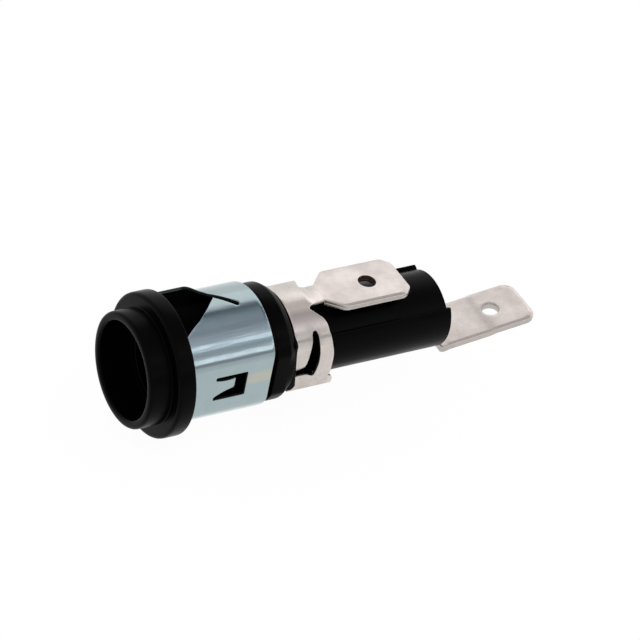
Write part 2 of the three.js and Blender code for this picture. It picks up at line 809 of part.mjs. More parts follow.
// Rings of the wire square to its path, joined into one closed tube.
function tubeAlong(path, radius, sides) {
  const positions = [];
  const index = [];
  path.forEach((point, i) => {
    const before = path[Math.max(i - 1, 0)];
    const after = path[Math.min(i + 1, path.length - 1)];
    const along = after.clone().sub(before).normalize();
    const outward = new THREE.Vector3(0, point.y, point.z).normalize();
    const side = new THREE.Vector3().crossVectors(along, outward).normalize();
    const up = new THREE.Vector3().crossVectors(side, along).normalize();
    for (let k = 0; k < sides; k++) {
      const angle = (k / sides) * 2 * Math.PI;
      const offset = up.clone().multiplyScalar(Math.cos(angle)).addScaledVector(side, Math.sin(angle));
      positions.push(...point.clone().addScaledVector(offset, radius).toArray());
    }
  });
  const at = (ring, k) => ring * sides + (k % sides);
  for (let ring = 0; ring < path.length - 1; ring++) {
    for (let k = 0; k < sides; k++) {
      index.push(at(ring, k), at(ring, k + 1), at(ring + 1, k + 1));
      index.push(at(ring, k), at(ring + 1, k + 1), at(ring + 1, k));
    }
  }
  for (let k = 1; k < sides - 1; k++) {
    index.push(at(0, 0), at(0, k + 1), at(0, k));
    index.push(at(path.length - 1, 0), at(path.length - 1, k), at(path.length - 1, k + 1));
  }
  const geometry = new THREE.BufferGeometry();
  geometry.setAttribute("position", new THREE.Float32BufferAttribute(positions, 3));
  geometry.setIndex(index);
  return solidOf(geometry);
}

// The least clear space between one turn of the wire and the next, measured on the path's points.
function leastCoilGap(path) {
  let least = Infinity;
  path.forEach((a, i) => {
    for (let j = i + springCut.stepsPerTurn / 2; j < path.length; j++) {
      least = Math.min(least, a.distanceTo(path[j]) - spring.wireDiameter);
    }
  });
  return least;
}

function contactSpring() {
  const path = springPath();
  console.log("least gap of the spring to itself: " + leastCoilGap(path).toFixed(2) + " mm");
  return tubeAlong(path, spring.wireDiameter / 2, springCut.sides);
}

const finishes = {
  moulding: new THREE.MeshStandardMaterial({ color: 0x141414, roughness: 0.45, metalness: 0 }),
  zinc: new THREE.MeshStandardMaterial({ color: 0xa9c0c6, roughness: 0.3, metalness: 1 }),
  tin: new THREE.MeshStandardMaterial({ color: 0xd2cbc4, roughness: 0.4, metalness: 1 }),
  brass: new THREE.MeshStandardMaterial({ color: 0xc9a65a, roughness: 0.3, metalness: 1 }),
  springSteel: new THREE.MeshStandardMaterial({ color: 0x9a9a9c, roughness: 0.3, metalness: 1 }),
};

const holder = new THREE.Group();
holder.add(
  meshOf("holder_body", holderBody(), finishes.moulding),
  meshOf("mounting_clip", mountingClip(), finishes.zinc),
  meshOf("side_terminal", sideTerminal(), finishes.tin),
  meshOf("rear_terminal", rearTerminal(), finishes.tin),
  meshOf("terminal_rivet", terminalRivet(), finishes.brass),
  meshOf("contact_spring", contactSpring(), finishes.springSteel),
  meshOf("contact_cup", contactCup(), finishes.brass),
);

export default holder;
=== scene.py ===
"""Studio scene of a panel-mounting cartridge fuse holder, shown without its cap.

Every length in the classes below is in millimetres unless its name says otherwise, and is turned into metres
when a mesh is made. X runs from the open mouth to the rear blade, Z points out of the side blade's face, and
angles round the axis start at +Z and grow towards +Y, the far side in the picture.
"""
from __future__ import annotations

import logging
import math
from dataclasses import dataclass, field
from enum import Enum
from typing import Callable, Sequence

import bmesh
import bpy
import numpy as np
from mathutils import Matrix, Vector
from mathutils.geometry import delaunay_2d_cdt


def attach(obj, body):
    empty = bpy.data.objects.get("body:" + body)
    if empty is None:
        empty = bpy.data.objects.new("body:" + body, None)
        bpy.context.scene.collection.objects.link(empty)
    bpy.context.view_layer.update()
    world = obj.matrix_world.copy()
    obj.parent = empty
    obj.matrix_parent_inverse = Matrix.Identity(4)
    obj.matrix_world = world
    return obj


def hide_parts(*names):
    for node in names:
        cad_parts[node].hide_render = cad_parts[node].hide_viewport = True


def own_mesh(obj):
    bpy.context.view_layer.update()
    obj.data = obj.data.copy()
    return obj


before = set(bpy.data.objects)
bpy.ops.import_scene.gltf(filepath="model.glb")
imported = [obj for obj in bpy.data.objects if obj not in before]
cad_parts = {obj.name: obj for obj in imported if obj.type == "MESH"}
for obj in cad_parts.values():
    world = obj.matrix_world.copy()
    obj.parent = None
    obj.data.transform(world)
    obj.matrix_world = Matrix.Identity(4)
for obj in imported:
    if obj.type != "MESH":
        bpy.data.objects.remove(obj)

log = logging.getLogger("fuse_holder")

MM = 0.001
# Angle in degrees above which an edge of the moulding or of a turned piece stays sharp.
SMOOTH_CREASE = 32.0
# Points of a skin that lie nearer than this, in millimetres, are merged.
WELD = 2e-4
# Largest share of a neighbouring edge that a rounded corner may take.
ROUND_LIMIT = 0.48
# Lengths and sines below this count as nothing.
TINY = 1e-6
Corner = tuple[float, float, float]
Place = Callable[[np.ndarray], np.ndarray]


class Body(str, Enum):
    """The moving bodies that pieces ride on."""

    HOUSING = "housing"
    CONTACT = "contact"


def smoothstep(value: np.ndarray | float, low: float, high: float) -> np.ndarray:
    """Ease a value from 0 at low to 1 at high.

    Args:
        value: The value or values to ease.
        low: Where the result starts to rise.
        high: Where the result reaches 1.

    Returns:
        The eased share, from 0 to 1.
    """
    share = np.clip((np.asarray(value, float) - low) / (high - low), 0.0, 1.0)
    return share * share * (3.0 - 2.0 * share)


def softened(points: Sequence[tuple[float, float]], times: int = 2) -> list[tuple[float, float]]:
    """Cut the corners of an open line, and keep its ends.

    Args:
        points: The line's points.
        times: How often the corners are cut.

    Returns:
        The softened line.
    """
    line = [tuple(point) for point in points]
    for _ in range(times):
        cut_line = [line[0]]
        for (ax, ay), (bx, by) in zip(line, line[1:]):
            cut_line += [(0.75 * ax + 0.25 * bx, 0.75 * ay + 0.25 * by),
                         (0.25 * ax + 0.75 * bx, 0.25 * ay + 0.75 * by)]
        line = [*cut_line, line[-1]]
    return line


def linear(hex_colour: str) -> tuple[float, float, float, float]:
    """Turn an sRGB hex colour into a linear one with full alpha.

    Args:
        hex_colour: Six hex digits, with or without a leading hash.

    Returns:
        Linear red, green, blue and alpha.
    """
    digits = hex_colour.lstrip("#")
    parts = [int(digits[i : i + 2], 16) / 255 for i in (0, 2, 4)]
    curve = [c / 12.92 if c <= 0.04045 else ((c + 0.055) / 1.055) ** 2.4 for c in parts]
    return (curve[0], curve[1], curve[2], 1.0)


class Shader:
    """A material's or a world's node tree, with a short way to add nodes."""

    def __init__(self, tree: bpy.types.NodeTree) -> None:
        """Start from an empty tree.

        Args:
            tree: The tree to fill.
        """
        self.tree = tree
        tree.nodes.clear()

    def add(self, kind: str, settings: dict | None = None, **inputs: object) -> bpy.types.Node:
        """Add a node with its settings and inputs.

        Args:
            kind: The node's type name.
            settings: Properties of the node itself.
            **inputs: Values or output sockets by input name, with underscores for spaces,
                or by number as i0, i1.

        Returns:
            The new node.
        """
        node = self.tree.nodes.new(kind)
        for name, value in (settings or {}).items():
            setattr(node, name, value)
        for name, value in inputs.items():
            key = int(name[1:]) if name[0] == "i" and name[1:].isdigit() else name.replace("_", " ")
            if isinstance(value, bpy.types.NodeSocket):
                self.tree.links.new(value, node.inputs[key])
            else:
                node.inputs[key].default_value = value
        return node

    def ramp(self, factor: bpy.types.NodeSocket,
             stops: Sequence[tuple[float, Sequence[float]]]) -> bpy.types.NodeSocket:
        """Add a colour ramp.

        Args:
            factor: The socket that drives it.
            stops: Position and linear colour of each stop, in order.

        Returns:
            The ramp's colour output.
        """
        node = self.add("ShaderNodeValToRGB", Fac=factor)
        elements = node.color_ramp.elements
        while len(elements) < len(stops):
            elements.new(1.0)
        for element, (position, colour) in zip(elements, stops):
            element.position = position
            element.color = colour
        return node.outputs["Color"]

    def math(self, operation: str, *values: object) -> bpy.types.NodeSocket:
        """Add a math node.

        Args:
            operation: The operation's name.
            *values: Numbers or sockets, in order.

        Returns:
            The node's output.
        """
        inputs = {f"i{i}": value for i, value in enumerate(values)}
        return self.add("ShaderNodeMath", {"operation": operation}, **inputs).outputs[0]

    def mix(self, factor: object, a: object, b: object, blend: str = "MIX") -> bpy.types.NodeSocket:
        """Mix two colours.

        Args:
            factor: Share of the second colour.
            a: First colour or socket.
            b: Second colour or socket.
            blend: Blend type.

        Returns:
            The mixed colour.
        """
        settings = {"data_type": "RGBA", "blend_type": blend}
        return self.add("ShaderNodeMix", settings, i0=factor, i6=a, i7=b).outputs[2]

    def noise(self, vector: bpy.types.NodeSocket, size: float, detail: float = 3.0, rough: float = 0.5,
              stretch: tuple[float, float, float] = (1, 1, 1)) -> bpy.types.NodeSocket:
        """Add a noise whose features are about as large as size.

        Args:
            vector: Object coordinates, in metres.
            size: Feature size in millimetres.
            detail: Number of finer layers.
            rough: Strength of the finer layers.
            stretch: Scale of the coordinates along each axis.

        Returns:
            The noise value.
        """
        mapped = self.add("ShaderNodeMapping", Vector=vector, Scale=stretch).outputs[0]
        return self.add("ShaderNodeTexNoise", Vector=mapped, Scale=1 / (size * MM), Detail=detail,
                        Roughness=rough).outputs["Fac"]


@dataclass(frozen=True)
class Finish:
    """A procedural surface finish with blotches, fine marks and a fine relief, and optionally bands of
    painted highlight and shade by angle round the axis and one painted reflection.
    """

    name: str
    slot: str
    colour: str
    stain: str
    metallic: float = 0.0
    roughness: float = 0.4
    roughness_spread: float = 0.08
    specular: float = 0.5
    blotch_size: float = 3.0
    stain_share: float = 0.3
    grain_size: float = 0.12
    grain_height: float = 0.0015
    grain_stretch: tuple[float, float, float] = (1.0, 1.0, 1.0)
    mark: str = ""
    mark_size: float = 0.5
    mark_share: float = 0.3
    mark_spread: float = 9.0
    wave_size: float = 1.5
    wave_height: float = 0.0
    wave_stretch: tuple[float, float, float] = (0.12, 1.0, 1.0)
    painted_light_zones: tuple[tuple[float, tuple[float, float, float]], ...] = ()
    painted_light_end: float = 18.4
    painted_glint: str = ""
    painted_glint_place: Corner = (0.0, 0.0, 0.0)
    painted_glint_reach: Corner = (1.0, 1.0, 1.0)
    painted_glint_share: float = 0.5

    def material(self) -> bpy.types.Material:
        """Build the finish's material.

        Returns:
            The material, shared by all pieces of this finish.
        """
        found = bpy.data.materials.get(self.name)
        if found:
            return found
        made = bpy.data.materials.new(self.name)
        made.use_nodes = True
        shader = Shader(made.node_tree)
        place = shader.add("ShaderNodeTexCoord").outputs["Object"]
        blotches = shader.noise(place, self.blotch_size, 4.0, 0.6)
        grain = shader.noise(place, self.grain_size, 2.0, 0.5, self.grain_stretch)
        stained = shader.ramp(blotches, [(0.35, (0, 0, 0, 1)), (0.7, (1, 1, 1, 1))])
        share = shader.math("MULTIPLY", stained, self.stain_share)
        colour = shader.mix(share, linear(self.colour), linear(self.stain))
        if self.mark:
            colour = self.marked(shader, place, colour)
        # Painted highlight and shade: bands of colour by angle round the axis.
        if self.painted_light_zones:
            colour = self.paint_light_zones(shader, place, colour)
        # Painted reflection: a soft spot of colour round a given place.
        if self.painted_glint:
            about = shader.add("ShaderNodeMapping", {"vector_type": "TEXTURE"}, Vector=place,
                               Location=tuple(v * MM for v in self.painted_glint_place),
                               Scale=tuple(v * MM for v in self.painted_glint_reach)).outputs[0]
            near = shader.add("ShaderNodeTexGradient", {"gradient_type": "SPHERICAL"},
                              Vector=about).outputs["Fac"]
            glint_amount = shader.math("MINIMUM", near, self.painted_glint_share)
            colour = shader.mix(glint_amount, colour, linear(self.painted_glint))
        rough = shader.add("ShaderNodeMapRange", Value=blotches, i1=0.3, i2=0.75,
                           i3=self.roughness - self.roughness_spread,
                           i4=self.roughness + self.roughness_spread).outputs[0]
        bump = shader.add("ShaderNodeBump", Height=grain, Strength=1.0, Distance=self.grain_height * MM)
        if self.wave_height:
            waves = shader.noise(place, self.wave_size, 2.0, 0.5, self.wave_stretch)
            bump = shader.add("ShaderNodeBump", Height=waves, Strength=1.0, Distance=self.wave_height * MM,
                              Normal=bump.outputs[0])
        surface = shader.add("ShaderNodeBsdfPrincipled", Base_Color=colour, Metallic=self.metallic,
                             Roughness=rough,
                             Specular_IOR_Level=self.specular, Normal=bump.outputs[0])
        shader.add("ShaderNodeOutputMaterial", Surface=surface.outputs[0])
        return made

    def paint_light_zones(self, shader: Shader, place: bpy.types.NodeSocket,
              colour: bpy.types.NodeSocket) -> bpy.types.NodeSocket:
        """Paint highlight and shade into the plating's colour, in bands that follow the angle round the axis,
        from -90 to 90 degrees.

        Args:
            shader: The material's tree.
            place: Object coordinates.
            colour: The colour so far.

        Returns:
            The colour with its painted highlight and shade bands, up to their end along the axis.
        """
        parts = shader.add("ShaderNodeSeparateXYZ", Vector=place).outputs
        angle = shader.math("ARCTAN2", parts["Y"], parts["Z"])
        share = shader.add("ShaderNodeMapRange", Value=angle, i1=-math.pi / 2, i2=math.pi / 2, i3=0.0, i4=1.0)
        stops = [((degrees + 90) / 180, (*gain, 1.0)) for degrees, gain in self.painted_light_zones]
        gain = shader.ramp(share.outputs[0], stops)
        reach = shader.math("LESS_THAN", parts["X"], self.painted_light_end * MM)
        return shader.mix(reach, colour, gain, "MULTIPLY")

    def marked(self, shader: Shader, place: bpy.types.NodeSocket,
               colour: bpy.types.NodeSocket) -> bpy.types.NodeSocket:
        """Add small darker marks to the colour, gathered in patches.

        Args:
            shader: The material's tree.
            place: Object coordinates.
            colour: The colour so far.

        Returns:
            The colour with its marks.
        """
        specks = shader.noise(place, self.mark_size, 5.0, 0.75)
        patches = shader.noise(place, self.mark_size * self.mark_spread, 2.0, 0.5)
        fine = shader.ramp(specks, [(0.55, (0, 0, 0, 1)), (0.68, (1, 1, 1, 1))])
        where = shader.ramp(patches, [(0.45, (0, 0, 0, 1)), (0.65, (1, 1, 1, 1))])
        share = shader.math("MULTIPLY", shader.math("MULTIPLY", fine, where), self.mark_share)
        return shader.mix(share, colour, linear(self.mark))


# Black polyamide from a polished mould: deep black, with a soft sheen only where light grazes it.
MOULDING = Finish("moulded_black_polyamide", "moulding", "030303", "050404", roughness=0.3,
                  roughness_spread=0.05,
                  specular=0.038, blotch_size=4.0, grain_size=0.1, grain_height=0.0012)
# The same polyamide in the bore and the cut recesses, painted near black with no sheen as painted shade.
SHADED_MOULDING = Finish("painted_shade_polyamide", "moulding", "010101", "020101", roughness=0.95,
                         roughness_spread=0.04,
                         specular=0.02, blotch_size=2.0, grain_size=0.15, grain_height=0.002)
# Rolled spring steel with bright zinc plating and blue passivation, with long soft streaks. Its colour
# carries painted highlight and painted shade in bands, tinted blue, that follow the angle round the axis, and
# one warm painted reflection. The streaks are about 1 mm wide, coarser than rolling marks, so they show.
ZINC = Finish("passivated_zinc_with_painted_light", "zinc", "a3b2b4", "98a8ac", metallic=1.0, roughness=0.15,
              roughness_spread=0.04,
              blotch_size=2.6, stain_share=0.5, grain_size=0.2, grain_height=0.0009,
              grain_stretch=(0.25, 1, 1),
              mark="87939a", mark_size=0.35, mark_share=0.35, wave_size=0.9, wave_height=0.022,
              # Painted highlight and shade bands, tinted blue, by angle round the axis.
              painted_light_zones=((-66, (1, 1, 1)), (-60, (0.76, 0.76, 0.8)), (-55, (1.04, 1.04, 1.1)),
                     (-48, (0.9, 0.94, 1.02)),
                     (-38, (0.84, 0.84, 0.92)), (-25, (1.05, 1.08, 1.22)), (-15, (0.88, 0.97, 1.1)),
                     (-2, (1, 1, 1))),
              # A warm painted reflection on the near flat behind the window.
              painted_glint="c4bba4", painted_glint_place=(9.1, -5.8, 0.42), painted_glint_reach=(3.2, 2.0, 1.0))
# The sleeve's inner face, painted nearly black as painted shade, since it gets little light.
ZINC_SHADE = Finish("zinc_underside_painted_shade", "zinc", "191c1d", "101212", metallic=0.6, roughness=0.7,
                    roughness_spread=0.08, blotch_size=1.2, grain_size=0.15, grain_height=0.002)
# Brass with matt tin plating: pale and warm, with cloudy patches and small rubbed marks, drawn about twice as
# large as real rub marks so that they show. On the band, painted highlight and painted shade follow the angle
# round the axis.
TIN = Finish("matt_tin_with_painted_light", "tin", "dad1cd", "c0b6b0", metallic=1.0, roughness=0.32, roughness_spread=0.08,
             blotch_size=2.4, stain_share=0.6, grain_size=0.22, grain_height=0.001, grain_stretch=(0.5, 1, 1),
             mark="8a8079", mark_size=0.4, mark_share=0.5, wave_size=1.1, wave_height=0.008,
             # Painted highlight and shade bands by angle round the band.
             painted_light_zones=((-70, (0.92, 0.93, 0.92)), (-58, (0.74, 0.76, 0.76)), (-42, (0.78, 0.78, 0.8)),
                    (-27, (0.86, 0.85, 0.86)), (-20, (1.3, 1.28, 1.28)), (-8, (1.2, 1.2, 1.18)),
                    (6, (0.92, 0.95, 0.93))))
# The terminals' sheared edges, tinned over a rough break: a shade darker than the faces.
TIN_EDGE = Finish("sheared_tinned_brass", "tin", "bcb6b0", "a39c97", metallic=1.0, roughness=0.36,
                  roughness_spread=0.08, blotch_size=1.0, grain_size=0.08, grain_height=0.002)
# The punched wall of the side blade's hole, where the brass shows through, painted dark brown as painted
# shade inside the hole.
SHADED_HOLE_EDGE = Finish("punched_brass_painted_shade", "tin", "4a3c38", "382d2a", metallic=0.7, roughness=0.6,
                   roughness_spread=0.08,
                   blotch_size=0.6, grain_size=0.08, grain_height=0.002)
# Plain turned brass: a warm metal with a faint grain.
BRASS = Finish("turned_brass", "brass", "c7a35c", "b08a48", metallic=1.0, roughness=0.3,
               roughness_spread=0.08,
               blotch_size=1.5, stain_share=0.4, grain_size=0.15, grain_height=0.001)
# Drawn spring wire: grey, with marks along the wire.
SPRING_STEEL = Finish("drawn_spring_wire", "spring_steel", "9c9da0", "86878b", metallic=1.0, roughness=0.3,
                      roughness_spread=0.08, blotch_size=0.8, grain_size=0.1, grain_height=0.001,
                      grain_stretch=(1, 0.3, 0.3))
# The sleeve's sheared edges, painted dark grey as painted shade.
SHADED_ZINC_EDGE = Finish("sheared_steel_painted_shade", "zinc", "3c4244", "2c3031", metallic=0.8, roughness=0.5,
                   roughness_spread=0.08, blotch_size=0.8, grain_size=0.08, grain_height=0.002)
TIN_SHEET = [TIN, TIN_EDGE, TIN, SHADED_HOLE_EDGE]


def mesh_object(name: str, vertices: np.ndarray, faces: Sequence[Sequence[int]], finishes: Sequence[Finish],
                chosen: Sequence[int] | None = None, crease: float = SMOOTH_CREASE) -> bpy.types.Object:
    """Make an object from millimetre points, shaded smooth up to a crease angle.

    Args:
        name: The object's name.
        vertices: Points in millimetres.
        faces: Vertex numbers of each face.
        finishes: Finishes in slot order.
        chosen: Slot number of each face, or None for the first slot.
        crease: Angle between faces above which an edge stays sharp, in degrees.

    Returns:
        The linked object, at the origin.
    """
    data = bpy.data.meshes.new(name)
    data.from_pydata((np.asarray(vertices, float) * MM).tolist(), [], [list(f) for f in faces])
    for finish in finishes:
        data.materials.append(finish.material())
    if chosen is not None:
        data.polygons.foreach_set("material_index", np.asarray(chosen, np.int32))
    data.validate()
    made = bpy.data.objects.new(name, data)
    bpy.context.scene.collection.objects.link(made)
    shade(made, crease)
    return made


def shade(made: bpy.types.Object, crease: float) -> None:
    """Shade a mesh smooth, with sharp edges above the crease angle in degrees."""
    made.data.shade_smooth()
    made.data.set_sharp_from_angle(angle=math.radians(crease))


def joined(name: str, parts: Sequence[bpy.types.Object]) -> bpy.types.Object:
    """Join several mesh objects into the first one.

    Args:
        name: The joined object's name.
        parts: Objects to join, all at the origin.

    Returns:
        The joined object.
    """
    first = parts[0]
    with bpy.context.temp_override(active_object=first, selected_editable_objects=list(parts),
                                   selected_objects=list(parts), object=first):
        bpy.ops.object.join()
    first.name = name
    first.data.name = name
    return first


def settled(piece: bpy.types.Object, body: Body, slot: str, *nodes: str) -> bpy.types.Object:
    """Let a finished piece ride on its body, and take the place of its nodes.

    Args:
        piece: The finished object.
        body: The body it moves with.
        slot: The record's material slot; not used.
        *nodes: The nodes it replaces.

    Returns:
        The piece.
    """
    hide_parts(*nodes)
    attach(piece, body.value)
    size = len(piece.data.polygons)
    log.info("%s: %d faces, on %s", piece.name, size, body.value)
    return piece


@dataclass
class DoubleFlat:
    """Round section with a flat on its near and its far side."""

    radius: float
    flat: float
    blend: float = 0.1
    near_draw: float = 0.0
    draw_reach: tuple[float, float] = (0.1, 0.86)

    def reach(self, angle: np.ndarray | float) -> np.ndarray:
        """Give the section's distance from the axis.

        Args:
            angle: Angle round the axis, in radians.

        Returns:
            The distance, rounded where arc and flat meet, and drawn in towards the near flat.
        """
        side = self.flat / np.maximum(np.abs(np.sin(angle)), TINY)
        round_part = self.radius - self.near_draw * smoothstep(-np.sin(angle), *self.draw_reach)
        gap = np.maximum(self.blend - np.abs(round_part - side), 0.0) / self.blend
        return np.minimum(round_part, side) - gap * gap * self.blend / 4


@dataclass
class WrappedPath:
    """Arc length along a double-flat section, measured from a start angle."""

    section: DoubleFlat
    start: float
    low: float
    high: float
    samples: int = 4001

    def __post_init__(self) -> None:
        """Measure the path."""
        self.angles = np.linspace(self.low, self.high, self.samples)
        reach = self.section.reach(self.angles)
        points = np.stack([reach * np.sin(self.angles), reach * np.cos(self.angles)], 1)
        steps = np.linalg.norm(np.diff(points, axis=0), axis=1)
        length = np.concatenate([[0.0], np.cumsum(steps)])
        self.lengths = length - np.interp(self.start, self.angles, length)

    def angle(self, length: np.ndarray | float) -> np.ndarray:
        """Give the angle at an arc length."""
        return np.interp(length, self.lengths, self.angles)

    def length(self, angle: np.ndarray | float) -> np.ndarray:
        """Give the arc length at an angle."""
        return np.interp(angle, self.angles, self.lengths)

    def frame(self, length: np.ndarray) -> tuple[np.ndarray, np.ndarray]:
        """Give the points and outward normals at arc lengths.

        Args:
            length: Arc lengths.

        Returns:
            Points and unit normals, each as rows of (y, z).
        """
        angle = self.angle(length)
        step = 1e-3

        def at(value: np.ndarray) -> np.ndarray:
            """Give the section's points at angles."""
            reach = self.section.reach(value)
            return np.stack([reach * np.sin(value), reach * np.cos(value)], -1)

        along = at(angle + step) - at(angle - step)
        along /= np.linalg.norm(along, axis=-1, keepdims=True)
        return at(angle), np.stack([-along[..., 1], along[..., 0]], -1)


@dataclass
class SheetPattern:
    """Flat pattern of a stamped sheet with rounded cut edges, bent into place by a function.

    The first loop runs round the outside and the others round holes, in any direction.
    """

    name: str
    loops: list[list[tuple[float, float]]]
    thickness: float
    edge_round: float = 0.06
    spacing: float = 0.3
    rows: float = 0.22
    creases: list[list[tuple[float, float]]] = field(default_factory=list)
    rim_clearance: float = 0.5
    tolerance: float = 1e-7

    def fine_loop(self, loop: Sequence[tuple[float, float]], outside: bool) -> np.ndarray:
        """Split a loop's edges into short steps, with the material on its left.

        Args:
            loop: The loop's corners.
            outside: Whether it is the outer loop.

        Returns:
            The loop's points.
        """
        points = np.asarray(loop, float)
        following = np.roll(points, -1, axis=0)
        area = np.sum(points[:, 0] * following[:, 1] - following[:, 0] * points[:, 1])
        if (area > 0) != outside:
            points = points[::-1]
            following = np.roll(points, -1, axis=0)
        fine: list[np.ndarray] = []
        for a, b in zip(points, following):
            count = max(1, math.ceil(np.linalg.norm(b - a) / self.spacing))
            fine += [a + (b - a) * i / count for i in range(count)]
        return np.asarray(fine)

    @staticmethod
    def inward(loop: np.ndarray) -> np.ndarray:
        """Give each point's move that insets the loop by one unit."""
        mitre_limit = 0.35
        along = np.roll(loop, -1, axis=0) - loop
        along /= np.linalg.norm(along, axis=1, keepdims=True)
        normal = np.stack([-along[:, 1], along[:, 0]], 1)
        before = np.roll(normal, 1, axis=0)
        share = 1 + np.sum(normal * before, axis=1, keepdims=True)
        return (normal + before) / np.maximum(share, mitre_limit)

    @staticmethod
    def inside(points: np.ndarray, loops: Sequence[np.ndarray]) -> np.ndarray:
        """Tell which points lie in the sheet by counting the crossings of all loops."""
        odd = np.zeros(len(points), bool)
        for loop in loops:
            following = np.roll(loop, -1, axis=0)
            for (ax, ay), (bx, by) in zip(loop, following):
                if ay == by:
                    continue
                spans = (points[:, 1] >= min(ay, by)) & (points[:, 1] < max(ay, by))
                cross = ax + (points[:, 1] - ay) / (by - ay) * (bx - ax)
                odd ^= spans & (points[:, 0] < cross)
        return odd

    def filled(self, loops: Sequence[np.ndarray]) -> tuple[np.ndarray, list[list[int]],
                                                           list[tuple[int, int]]]:
        """Fill the loops with triangles in even rows, with edges along the creases.

        Args:
            loops: Inset loops.

        Returns:
            Points, the loops' points first, triangles, and the point pairs of the creases.
        """
        rim = np.concatenate(loops)
        edges: list[tuple[int, int]] = []
        start = 0
        for loop in loops:
            count = len(loop)
            edges += [(start + i, start + (i + 1) % count) for i in range(count)]
            start += count
        folds: list[tuple[int, int]] = []
        for crease in self.creases:
            line = [np.asarray(crease[0], float)]
            for a, b in zip(np.asarray(crease, float), np.asarray(crease[1:], float)):
                count = max(1, math.ceil(np.linalg.norm(b - a) / self.spacing))
                line += [a + (b - a) * (i + 1) / count for i in range(count)]
            folds += [(start + i, start + i + 1) for i in range(len(line) - 1)]
            start += len(line)
            rim = np.concatenate([rim, line])
        low, high = rim.min(0), rim.max(0)
        columns = np.arange(low[0], high[0], self.spacing)
        lines = np.arange(low[1], high[1], self.rows)
        grid = np.stack(np.meshgrid(columns, lines), -1).reshape(-1, 2)
        grid = grid[self.inside(grid, loops)]
        nearest = np.full(len(grid), np.inf)
        for point in rim:
            nearest = np.minimum(nearest, np.hypot(*(grid - point).T))
        grid = grid[nearest > self.rim_clearance * self.rows]
        points = np.concatenate([rim, grid])
        result = delaunay_2d_cdt([Vector(p) for p in points], edges + folds, [], 0, self.tolerance)
        placed = np.asarray([tuple(v) for v in result[0]])
        triangles = [list(f) for f in result[2]]
        centres = np.asarray([placed[f].mean(0) for f in triangles])
        keep = self.inside(centres, loops)
        origin = {new: old[0] for new, old in enumerate(result[3]) if old}
        kept = [f for f, good in zip(triangles, keep) if good and all(v in origin for v in f)]
        return points, [[origin[v] for v in f] for f in kept], folds

    def build(self, place: Place, finishes: Sequence[Finish], crease: float = 40.0) -> bpy.types.Object:
        """Build the sheet and bend it into place.

        Args:
            place: Turns rows of (x, s, w) into points, where w is the height over the sheet's middle.
            finishes: Finish of the outer face, of the cut edges, of the inner face and of the walls of holes.
            crease: Shading angle in degrees.

        Returns:
            The sheet's object.
        """
        fine = [self.fine_loop(loop, i == 0) for i, loop in enumerate(self.loops)]
        moves = [self.inward(loop) for loop in fine]
        inset = [loop + move * self.edge_round for loop, move in zip(fine, moves)]
        flat, triangles, folds = self.filled(inset)
        half = self.thickness / 2
        count = len(flat)
        layers = [np.column_stack([flat, np.full(count, half)]),
                  np.column_stack([flat, np.full(count, -half)])]
        faces: list[list[int]] = []
        chosen: list[int] = []
        outer, edge, inner, hole = range(4)
        for a, b, c in triangles:
            turn = np.cross(flat[b] - flat[a], flat[c] - flat[a])
            up = [a, b, c] if turn > 0 else [a, c, b]
            faces += [up, [count + v for v in reversed(up)]]
            chosen += [outer, inner]
        quarter = [math.radians(a) for a in (30, 60, 90)]
        rings = [(self.edge_round * (1 - math.sin(a)), half - self.edge_round * (1 - math.cos(a)))
                 for a in quarter]
        rings += [(depth, -height) for depth, height in reversed(rings)]
        rim = sum(len(loop) for loop in fine)
        first = 2 * count
        for depth, height in rings:
            ring = np.concatenate([loop + move * depth for loop, move in zip(fine, moves)])
            layers.append(np.column_stack([ring, np.full(rim, height)]))
        bands = [0, *[first + i * rim for i in range(len(rings))], count]
        # Round the outside, the two bands next to each face carry that face's finish.
        near_face = {0: outer, 1: outer, 5: inner, 6: inner}
        start = 0
        for loop in fine:
            size = len(loop)
            for upper, lower in zip(bands, bands[1:]):
                middle = hole if start else near_face.get(bands.index(upper), edge)
                for i in range(size):
                    j = (i + 1) % size
                    faces.append([upper + start + i, lower + start + i, lower + start + j, upper + start + j])
                    chosen.append(middle)
            start += size
        made = mesh_object(self.name, place(np.concatenate(layers)), faces, finishes, chosen, crease)
        sharp = {frozenset((a + side, b + side)) for a, b in folds for side in (0, count)}
        for line in made.data.edges:
            if frozenset(line.vertices) in sharp:
                line.use_edge_sharp = True
        return made


def prism(name: str, outline: Sequence[tuple[float, float]], low: float, high: float,
          finish: Finish) -> bpy.types.Object:
    """Make a straight prism along Z.

    Args:
        name: The object's name.
        outline: Corners, as (x, y).
        low: Where it starts along Z.
        high: Where it ends.
        finish: Its finish.

    Returns:
        The prism's object.
    """
    count = len(outline)
    points = [(x, y, z) for z in (low, high) for x, y in outline]
    faces = [list(range(count)), list(range(2 * count - 1, count - 1, -1))]
    faces += [[i, count + i, count + (i + 1) % count, (i + 1) % count] for i in range(count)]
    made = mesh_object(name, np.asarray(points), faces, [finish])
    shaped = bmesh.new()
    shaped.from_mesh(made.data)
    bmesh.ops.recalc_face_normals(shaped, faces=shaped.faces)
    shaped.to_mesh(made.data)
    shaped.free()
    return made


def cut(target: bpy.types.Object, cutter: bpy.types.Object) -> None:
    """Cut one object out of another, keep the cutter's finish on the new faces, and delete the cutter.

    Args:
        target: The object that is cut.
        cutter: The object that is taken away.
    """
    for each in (target, cutter):
        each.data.transform(Matrix.Scale(1 / MM, 4))
    modifier = target.modifiers.new("cut", "BOOLEAN")
    modifier.operation = "DIFFERENCE"
    modifier.solver = "EXACT"
    modifier.material_mode = "TRANSFER"
    modifier.object = cutter
    bpy.context.view_layer.update()
    result = bpy.data.meshes.new_from_object(target.evaluated_get(bpy.context.evaluated_depsgraph_get()))
    target.modifiers.remove(modifier)
    target.data = result
    target.data.transform(Matrix.Scale(MM, 4))
    bpy.data.objects.remove(cutter)


